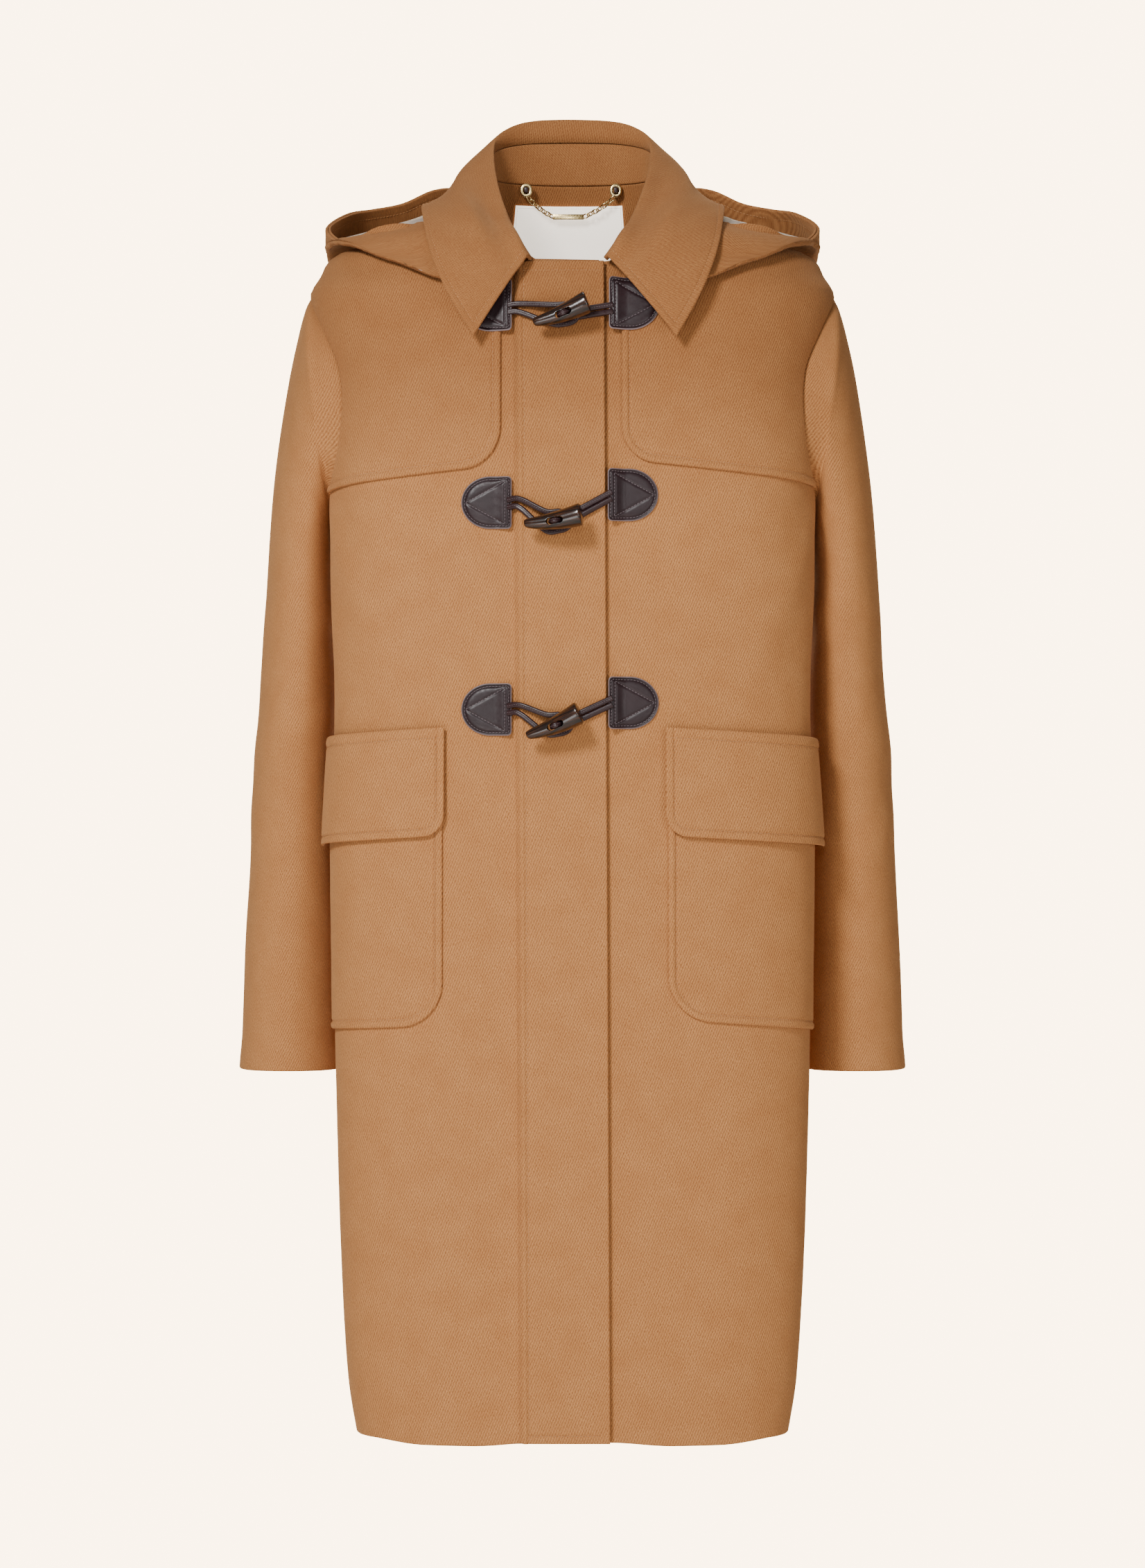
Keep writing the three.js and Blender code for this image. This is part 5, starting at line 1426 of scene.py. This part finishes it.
def patchOutline():
    straight = leather["width"] * leather["straightShare"]
    turned = leather["width"] - straight
    half = leather["height"] / 2
    r = leather["corner"]
    arc = np.linspace(0, math.pi / 2, 9)
    corner = np.stack([r - r * np.cos(arc), half - r + r * np.sin(arc)], axis=-1)
    run = np.stack([np.linspace(r, straight, 8)[1:], np.full(7, half)], axis=-1)
    sweep = np.linspace(math.pi / 2, 0, 40)[1:]
    nose = np.stack([straight + turned * np.cos(sweep), half * np.sin(sweep)], axis=-1)
    upper = np.concatenate([[(0, 0)], [(0, half * 0.4)], corner, run, nose])
    lower = (upper * [1, -1])[1:-1][::-1]
    return np.concatenate([upper, lower])


def patchStitchLines():
    outline = patchOutline()
    centre = np.array([leather["width"] * 0.42, 0])
    closed = np.concatenate([outline, outline[:1]])
    even = np.linspace(0, 1, 240)
    walked = np.concatenate([[0], np.cumsum(np.linalg.norm(np.diff(closed, axis=0), axis=1))])
    ring = np.stack([np.interp(even * walked[-1], walked, closed[:, k]) for k in range(2)], axis=-1)
    inward = unit(centre - ring) * 2.5
    half = leather["height"] / 2
    second = np.array([(5.0, -half + 3.4), (5.0, half - 3.4)])
    apex = np.array([leather["width"] - 3.2, 0.0])
    return [
        ring + inward,
        mix(second[0], second[1], np.linspace(0, 1, 30)[:, None]),
        mix(second[1], apex, np.linspace(0, 1, 40)[:, None]),
        mix(second[0], apex, np.linspace(0, 1, 40)[:, None]),
    ]


# A patch is rings of its outline from the middle out, domed between its stitch lines.
def makePatch(name, side, edgeX, middleZ, edgeLift, baseLift):
    outline = patchOutline()
    closed = np.concatenate([outline, outline[:1]])
    walked = np.concatenate([[0], np.cumsum(np.linalg.norm(np.diff(closed, axis=0), axis=1))])
    even = np.linspace(0, walked[-1], 157)[:-1]
    ring = np.stack([np.interp(even, walked, closed[:, k]) for k in range(2)], axis=-1)
    centre = np.array([leather["width"] * 0.42, 0])
    shares = np.concatenate([np.linspace(0.03, 0.86, 21), np.linspace(0.88, 1, 12)])
    flat = centre + (ring[None] - centre) * shares[:, None, None]
    points = flat.reshape(-1, 2)
    edge = fromLine(points, closed).reshape(flat.shape[:2])
    lines = patchStitchLines()
    near = np.minimum.reduce([fromLine(points, line) for line in lines]).reshape(flat.shape[:2])
    relief = 0.9 * smooth(edge, 0.5, 7) - 0.75 * np.exp(-(near / 0.9) ** 2)
    relief = relief + 0.1 * lumps(*np.moveaxis(flat, -1, 0), 9, 7)

    def place(where, lift):
        away, z = where[..., 0], middleZ + where[..., 1]
        raised = mix(edgeLift, baseLift, smooth(away, 0, leather["edgeRamp"]))
        x = edgeX + side * away
        return frontAt(x, z, raised + lift + drape(frontFolds, x, z))

    half = roundedHalf(edge, leather["thick"])
    middle = leather["thick"] / 2
    outer = place(flat, middle + half + relief)
    inner = place(flat, middle - half)
    count = len(ring)
    rows = len(shares)
    size = rows * count
    index = np.arange(size).reshape(rows, count)
    index = np.concatenate([index, index[:, :1]], axis=1)
    a, b, c, d = index[:-1, :-1], index[:-1, 1:], index[1:, 1:], index[1:, :-1]
    top = np.stack([a, b, c, d], axis=-1).reshape(-1, 4)
    rim = np.stack([index[-1, :-1], index[-1, 1:], index[-1, 1:] + size, index[-1, :-1] + size], axis=-1)
    crowns = np.array([place(centre, middle + half[0, 0] + relief[0].mean()), place(centre, 0.0)])
    hub = np.stack([np.full(count, 2 * size), index[0, 1:], index[0, :-1]], axis=-1)
    base = np.stack([np.full(count, 2 * size + 1), index[0, :-1] + size, index[0, 1:] + size], axis=-1)
    quads = np.concatenate([top, top[:, ::-1] + size, rim])
    everything = np.concatenate([outer.reshape(-1, 3), inner.reshape(-1, 3), crowns])
    tris = np.concatenate([hub, base])
    if signedVolume(everything, quads) < 0:
        quads = quads[:, ::-1]
        tris = tris[:, ::-1]
    inward = np.concatenate([edge.reshape(-1), edge.reshape(-1) * 0, [9, 9]])
    piece = meshPiece(name, everything, [quads, tris], np.stack([inward, 0 * inward], axis=-1))
    settle(piece, "leather", patchLeather, name)
    runs = []
    for line in lines:
        here = place(line, leather["thick"] + 0.3)
        runs.append((here, unit(place(line, leather["thick"] + 1.3) - here)))
    stitching(name + "_stitching", runs, leatherThreadSize, leatherThread, "leather")
    return piece


# A thong: an oval section with a seam groove on its outer face, carried along a smooth route.
def thongPiece(name, route, outward, node):
    route = np.array(route)
    steps = np.linalg.norm(np.diff(route, axis=0), axis=1) ** 0.5
    knots = np.concatenate([[0], np.cumsum(steps)])
    read = through(knots, route)
    path = read(np.linspace(0, knots[-1], 900))
    walked = np.concatenate([[0], np.cumsum(np.linalg.norm(np.diff(path, axis=0), axis=1))])
    even = np.linspace(0, walked[-1], int(walked[-1] / 0.7))
    line = np.stack([np.interp(even, walked, path[:, k]) for k in range(3)], axis=-1)
    tangent = unit(np.gradient(line, axis=0))
    normal = [unit(outward - tangent[0] * (outward @ tangent[0]))]
    for here in tangent[1:]:
        normal.append(unit(normal[-1] - here * (normal[-1] @ here)))
    normal = np.array(normal)
    side = np.cross(tangent, normal)
    turn = np.linspace(0, 2 * math.pi, 28, endpoint=False)
    seam = 0.14 * np.exp(-((turn - math.pi / 2) / 0.22) ** 2)
    wide = squared(np.cos(turn), 2.5) * thong["width"] / 2
    high = squared(np.sin(turn), 2.5) * thong["thick"] / 2 * (1 - seam)
    tube = line[:, None] + side[:, None] * wide[None, :, None] + normal[:, None] * high[None, :, None]
    count, sides = tube.shape[:2]
    index = np.arange(count * sides).reshape(count, sides)
    index = np.concatenate([index, index[:, :1]], axis=1)
    quads = np.stack([index[:-1, :-1], index[:-1, 1:], index[1:, 1:], index[1:, :-1]], axis=-1).reshape(-1, 4)
    ends = [np.arange(sides)[None, ::-1], (np.arange(sides) + (count - 1) * sides)[None]]
    points = tube.reshape(-1, 3)
    faces = [quads, *ends]
    if signedVolume(points, quads) < 0:
        faces = [part[:, ::-1] for part in faces]
    piece = settle(meshPiece(name, points, faces), "leather", thongLeather, node)
    crown = line + normal * (thong["thick"] / 2 * 0.86)
    fine = {"pitch": 1.9, "length": 1.25, "radius": 0.2, "sink": 0.05}
    stitching(name + "_stitching", [(crown, normal)], fine, leatherThread, "leather")
    print(f"thong {name} {even[-1]:.1f} mm")
    return piece


# A horn toggle along +X from its tip, lathed, bent a little, with a slot from front to back.
def makeToggle(name, frameOf):
    read = readColumn(toggleProfile, "along", "radius")
    along = np.concatenate([np.linspace(0, 3, 16)[1:], np.linspace(3.5, 41, 70), np.linspace(41.4, 44, 12)])
    radius = read(along)
    turn = np.linspace(0, 2 * math.pi, 64, endpoint=False)
    bend = toggle["bend"] * 4 * (along / toggle["length"]) * (1 - along / toggle["length"])
    x = np.repeat(along[:, None], len(turn), axis=1)
    y = radius[:, None] * np.cos(turn)
    z = radius[:, None] * np.sin(turn) - bend[:, None]
    points = np.stack([x, y, z], axis=-1).reshape(-1, 3)
    count, sides = len(along), len(turn)
    index = np.arange(count * sides).reshape(count, sides)
    index = np.concatenate([index, index[:, :1]], axis=1)
    quads = np.stack([index[:-1, :-1], index[:-1, 1:], index[1:, 1:], index[1:, :-1]], axis=-1).reshape(-1, 4)
    tip = len(points)
    ring = np.arange(sides)
    after = (ring + 1) % sides
    tipFan = np.stack([np.full(sides, tip), after, ring], axis=-1)
    last = (count - 1) * sides
    endFan = np.stack([np.full(sides, tip + 1), last + ring, last + after], axis=-1)
    points = np.concatenate([points, [(0, 0, 0), (toggle["length"] + 0.15, 0, 0)]])
    if signedVolume(points, quads) < 0:
        quads, tipFan, endFan = quads[:, ::-1], tipFan[:, ::-1], endFan[:, ::-1]
    hornPiece = meshPiece(name, points, [quads, np.concatenate([tipFan, endFan])])

    halfLong = toggle["slotLength"] / 2 - toggle["slotWidth"] / 2
    r = toggle["slotWidth"] / 2
    sweep = np.linspace(-math.pi / 2, math.pi / 2, 14)
    right = np.stack([halfLong + r * np.cos(sweep), r * np.sin(sweep)], axis=-1)
    stadium = np.concatenate([right, -right]) + [toggle["slotAt"], -toggle["bend"]]
    n = len(stadium)
    levels = (-14.0, 14.0)
    cutPoints = np.concatenate([
        np.stack([stadium[:, 0], np.full(n, y0), stadium[:, 1]], axis=-1) for y0 in levels
    ])
    k = np.arange(n)
    k1 = (k + 1) % n
    walls = np.stack([k, k1, k1 + n, k + n], axis=-1)
    caps = [k[None, ::-1], (k + n)[None]]
    cutFaces = [walls, *caps]
    if signedVolume(cutPoints, walls) < 0:
        cutFaces = [part[:, ::-1] for part in cutFaces]
    cutter = meshPiece(name + "_slot_cutter", cutPoints, cutFaces)
    cut = hornPiece.modifiers.new("slot", "BOOLEAN")
    cut.object = cutter
    cut.operation = "DIFFERENCE"
    cut.solver = "EXACT"
    bevel = hornPiece.modifiers.new("edges", "BEVEL")
    bevel.width = 0.45 * mm
    bevel.segments = 2
    bevel.limit_method = "ANGLE"
    bevel.angle_limit = math.radians(50)
    graph = bpy.context.evaluated_depsgraph_get()
    shaped = bpy.data.meshes.new_from_object(hornPiece.evaluated_get(graph))
    hornPiece.modifiers.clear()
    hornPiece.data = shaped
    bpy.data.objects.remove(cutter)
    local = np.empty(len(shaped.vertices) * 3, np.float32)
    shaped.vertices.foreach_get("co", local)
    local = local.reshape(-1, 3)
    placed = frameOf(local / mm)
    shaped.vertices.foreach_set("co", (placed * mm).astype(np.float32).ravel())
    corners = np.empty(len(shaped.loops), np.int32)
    shaped.loops.foreach_get("vertex_index", corners)
    for layer in list(shaped.uv_layers):
        shaped.uv_layers.remove(layer)
    layer = shaped.uv_layers.new(name="cloth")
    turned = np.stack([local[:, 0], local[:, 2] + 0.4 * local[:, 1]], axis=-1)
    layer.data.foreach_set("uv", turned[corners].astype(np.float32).ravel())
    shaped.polygons.foreach_set("use_smooth", np.ones(len(shaped.polygons), bool))
    shaped.update()
    return settle(hornPiece, "horn", horn, name)


strandSpread = thong["width"] / 2 + 0.4
pullLift = placketTop + layGap + thong["thick"] / 2 + 0.4
loopEndLift = pullLift + thong["width"] + 1.4
slotLift = mix(toggle["tipLift"], toggle["fatLift"], toggle["slotAt"] / toggle["length"])
loopDrop = slotLift - loopEndLift
pullDrop = slotLift - pullLift - 1


def makeFastening(row):
    onYoke = yokeBase + yokeThick if row["onYoke"] else 0.0
    base = onYoke + 0.2
    loopEdge = base + 2.6
    makePatch(f"leather_loop_patch_{row['name']}", -1, loopPatchX, row["loopPatchZ"], loopEdge, base)
    makePatch(f"leather_toggle_patch_{row['name']}", 1, row["togglePatchX"], row["togglePatchZ"], 6.2, base)
    tip = frontAt(row["tipX"], row["tipZ"], toggle["tipLift"])
    fat = frontAt(row["fatX"], row["fatZ"], toggle["fatLift"])
    length = unit(fat - tip)
    up = unit(np.cross(length, [0, 1, 0]))
    back = np.cross(up, length)
    slot = tip + length * toggle["slotAt"] - up * toggle["bend"]

    def underSlot(x, z, drop):
        return slot + back * drop + np.array([x, 0, z])

    first = 3.6 + onYoke
    start = loopPatchX - 3
    spreadOut = strandSpread + thong["width"] + 0.2

    def loopStrand(side):
        return [
            frontAt(start, row["loopZ"] + side * strandSpread, first),
            frontAt(start + 9, row["loopZ"] + side * (strandSpread + 0.6), pullLift - 1),
            underSlot(-9, side * spreadOut, loopDrop + 1.5),
            underSlot(1, side * spreadOut, loopDrop),
            underSlot(7, side * spreadOut * 0.7, loopDrop),
        ]

    loopRoute = loopStrand(1) + [underSlot(10, 0, loopDrop)] + loopStrand(-1)[::-1]
    outward = np.array([0, -1.0, 0])
    name = row["name"]
    thongPiece(f"thong_loop_{name}", loopRoute, outward, f"thong_loop_{name}")

    turn = thong["width"] / 2 + 1.1

    def pair(share, side):
        begin = frontAt(row["togglePatchX"] + 3, row["toggleCordZ"] + side * strandSpread, pullLift - 1.4)
        return mix(begin, underSlot(3.4, side * strandSpread, pullDrop), share)

    def inSlot(side, forward):
        return tip + length * (toggle["slotAt"] + side * turn) - up * toggle["bend"] - back * forward

    pullRoute = [
        pair(0, 1), pair(0.5, 1), pair(1, 1),
        inSlot(1, -8.5), inSlot(1, 1), inSlot(0, 1 + turn * 1.3), inSlot(-1, 1), inSlot(-1, -8.5),
        pair(1, -1), pair(0.5, -1), pair(0, -1),
    ]
    thongPiece(f"thong_toggle_{name}", pullRoute, outward, f"thong_toggle_{name}")
    axes = np.stack([length, back, up])
    makeToggle(f"toggle_{name}", lambda local: tip + local @ axes)


for row in fastenings:
    makeFastening(row)
print("fastenings made")


# The hanging loop: brass end plates on leather tabs, two lengths of curb chain, a bare plate.
hanger = {
    "leftX": -40.8, "rightX": 38, "z": 18.4, "height": 10.6, "width": 9.6, "thick": 1.4, "hole": 2,
    "standOff": 8.4, "plateLeft": -15.6, "plateRight": 9, "plateZ": -1.2, "plateHeight": 4.3,
    "plateThick": 1.0, "links": 7, "chainDrop": 6.35, "chainInward": 1, "sag": 3.5,
}


# A closed tube round a closed line: sections of given half width and half thickness.
def ringPiece(name, line, normal, wide, high, material, slotName, *nodes):
    tangent = unit(np.roll(line, -1, axis=0) - np.roll(line, 1, axis=0))
    side = np.cross(tangent, normal)
    turn = np.linspace(0, 2 * math.pi, 12, endpoint=False)
    tube = (
        line[:, None]
        + side[:, None] * (np.cos(turn) * wide)[None, :, None]
        + np.broadcast_to(normal, line.shape)[:, None] * (np.sin(turn) * high)[None, :, None]
    )
    count, sides = tube.shape[:2]
    index = np.arange(count * sides).reshape(count, sides)
    index = np.concatenate([index, index[:, :1]], axis=1)
    index = np.concatenate([index, index[:1]], axis=0)
    quads = np.stack([index[:-1, :-1], index[:-1, 1:], index[1:, 1:], index[1:, :-1]], axis=-1).reshape(-1, 4)
    points = tube.reshape(-1, 3)
    if signedVolume(points, quads) < 0:
        quads = quads[:, ::-1]
    if name is None:
        return points, quads
    return settle(meshPiece(name, points, [quads]), slotName, material, *nodes)


def boxPiece(name, low, high, bevelWidth, material, slotName, node):
    low, high = np.array(low), np.array(high)
    corners = np.array([[x, y, z] for x in (0, 1) for y in (0, 1) for z in (0, 1)])
    points = low + corners * (high - low)
    quads = np.array([(0, 1, 3, 2), (4, 6, 7, 5), (0, 4, 5, 1), (2, 3, 7, 6), (0, 2, 6, 4), (1, 5, 7, 3)])
    piece = meshPiece(name, points, [quads])
    bevel = piece.modifiers.new("edges", "BEVEL")
    bevel.width = bevelWidth * mm
    bevel.segments = 3
    graph = bpy.context.evaluated_depsgraph_get()
    shaped = bpy.data.meshes.new_from_object(piece.evaluated_get(graph))
    piece.modifiers.clear()
    piece.data = shaped
    return settle(piece, slotName, material, node)


def makeHanger():
    inside = -wool - facing["gap"] - facing["thick"] - 1.6
    plateMiddle = (hanger["plateLeft"] + hanger["plateRight"]) / 2
    plateY = backAt(plateMiddle, hanger["plateZ"], inside)[1] - hanger["standOff"]
    for name, x, plateX in (
        ("right", hanger["leftX"], hanger["plateLeft"]), ("left", hanger["rightX"], hanger["plateRight"]),
    ):
        seat = backAt(x, hanger["z"], inside)
        long = hanger["standOff"] * 0.85
        half = hanger["hole"] * 0.7
        boxPiece(
            f"hanger_tab_{name}", (seat[0] - half, seat[1] - 1.8 - long, hanger["z"] - hanger["hole"]),
            (seat[0] + half, seat[1] + 0.6, hanger["z"] + hanger["hole"]), 0.4, thongLeather, "leather",
            f"hanger_tab_{name}",
        )
        ringY = seat[1] - hanger["standOff"] * 0.6 - hanger["thick"] / 2
        turn = np.linspace(0, 2 * math.pi, 48, endpoint=False)
        line = np.stack([
            seat[0] + squared(np.cos(turn), 2.4) * (hanger["width"] / 2 - 1.4), ringY + 0 * turn,
            hanger["z"] + squared(np.sin(turn), 2.4) * (hanger["height"] / 2 - 1.4),
        ], axis=-1)
        ringPiece(
            f"hanger_ring_{name}", line, np.array([0, 1.0, 0]), 1.4, 0.6, brass, "brass", f"hanger_ring_{name}"
        )
        inward = np.sign(plateX - x)
        begin = np.array([seat[0] + inward * hanger["chainInward"], ringY, hanger["z"] - hanger["chainDrop"] + 1.2])
        finish = np.array([plateX + inward * 0.4, plateY, hanger["plateZ"]])
        middle = mix(begin, finish, 0.45) - [0, 0, hanger["sag"]]
        makeChain(f"hanger_chain_{name}", begin, middle, finish)
    boxPiece(
        "hanger_plate",
        (hanger["plateLeft"], plateY - hanger["plateThick"] / 2, hanger["plateZ"] - hanger["plateHeight"] / 2),
        (hanger["plateRight"], plateY + hanger["plateThick"] / 2, hanger["plateZ"] + hanger["plateHeight"] / 2),
        0.35, brass, "brass", "hanger_plate",
    )


def makeChain(name, begin, middle, finish):
    at = (np.arange(hanger["links"]) + 0.5) / hanger["links"]
    spot = lambda t: (1 - t) ** 2 * begin + 2 * t * (1 - t) * middle + t * t * finish
    reach = np.linalg.norm(finish - begin) / hanger["links"] * 0.72
    turn = np.linspace(0, 2 * math.pi, 28, endpoint=False)
    points, quads, made = [], [], 0
    for k, t in enumerate(at):
        tangent = unit(spot(t + 0.02) - spot(t - 0.02))
        flat = unit(np.cross(tangent, [0, 1, 0]))
        tilt = math.radians(38 if k % 2 else -38)
        side = flat * math.cos(tilt) + np.cross(tangent, flat) * math.sin(tilt)
        line = spot(t) + tangent * (np.cos(turn) * reach)[:, None] + side * (np.sin(turn) * 1.75)[:, None]
        own, faces = ringPiece(None, line, np.cross(tangent, side), 0.52, 0.52, brass, "brass")
        points.append(own)
        quads.append(faces + made)
        made += len(own)
    settle(meshPiece(name, np.concatenate(points), [np.concatenate(quads)]), "brass", brass, name)


makeHanger()
print("hanger made")


# The stage: a pale floor below the hem, a bright card far behind, and large soft lamps, the
# strongest low on the left.
stagePale = linear(248, 243, 237)
cardGlow = (9.55, 7.22, 4.74)


def makeStage():
    floorZ, floorEnd, wide, cardBack, cardLow, cardHigh = -1.25, 1.0, 4.0, 7.0, -3.0, 2.5
    sheets = {
        "floor": [(-wide, -5, floorZ), (wide, -5, floorZ), (wide, floorEnd, floorZ), (-wide, floorEnd, floorZ)],
        "card": [(-2, cardBack, cardLow), (2, cardBack, cardLow), (2, cardBack, cardHigh), (-2, cardBack, cardHigh)],
    }
    for name, corners in sheets.items():
        mesh = bpy.data.meshes.new(name)
        mesh.from_pydata(corners, [], [(0, 1, 2, 3)])
        made = bpy.data.objects.new(name, mesh)
        bpy.context.scene.collection.objects.link(made)
        material, _, shader = startMaterial("pale" + name.capitalize())
        shader.inputs["Base Color"].default_value = stagePale
        shader.inputs["Roughness"].default_value = 1.0
        shader.inputs["Specular IOR Level"].default_value = 0.0
        if name == "card":
            shader.inputs["Base Color"].default_value = (0, 0, 0, 1)
            shader.inputs["Emission Color"].default_value = (*cardGlow, 1)
            shader.inputs["Emission Strength"].default_value = 1.0
        mesh.materials.append(material)
    world = bpy.data.worlds.new("pale")
    bpy.context.scene.world = world
    world.use_nodes = True
    background = world.node_tree.nodes["Background"]
    background.inputs[0].default_value = stagePale
    background.inputs[1].default_value = 0.2


lights = table("name x y z size power", [
    ("key", -0.95, -2.2, 0.95, 0.6, 62),
    ("fill", 1.45, -2.2, -0.4, 1.2, 14),
    ("low", -0.7, -1.9, -1.1, 1.0, 12),
    ("front", 0.0, -3.7, 0.2, 0.5, 10),
    ("above", 0.0, 0.5, 1.7, 0.8, 7),
])


def makeLights():
    aim = np.array([0, 0, -0.55])
    for row in lights:
        data = bpy.data.lights.new(row["name"], "AREA")
        data.shape = "DISK"
        data.size = row["size"]
        data.energy = row["power"]
        lamp = bpy.data.objects.new(row["name"], data)
        lamp.location = (row["x"], row["y"], row["z"])
        toward = unit(aim - np.array([row["x"], row["y"], row["z"]]))
        pitch = math.acos(-toward[2])
        lamp.rotation_euler = (pitch, 0, math.atan2(toward[1], toward[0]) - math.pi / 2)
        bpy.context.scene.collection.objects.link(lamp)


makeStage()
makeLights()
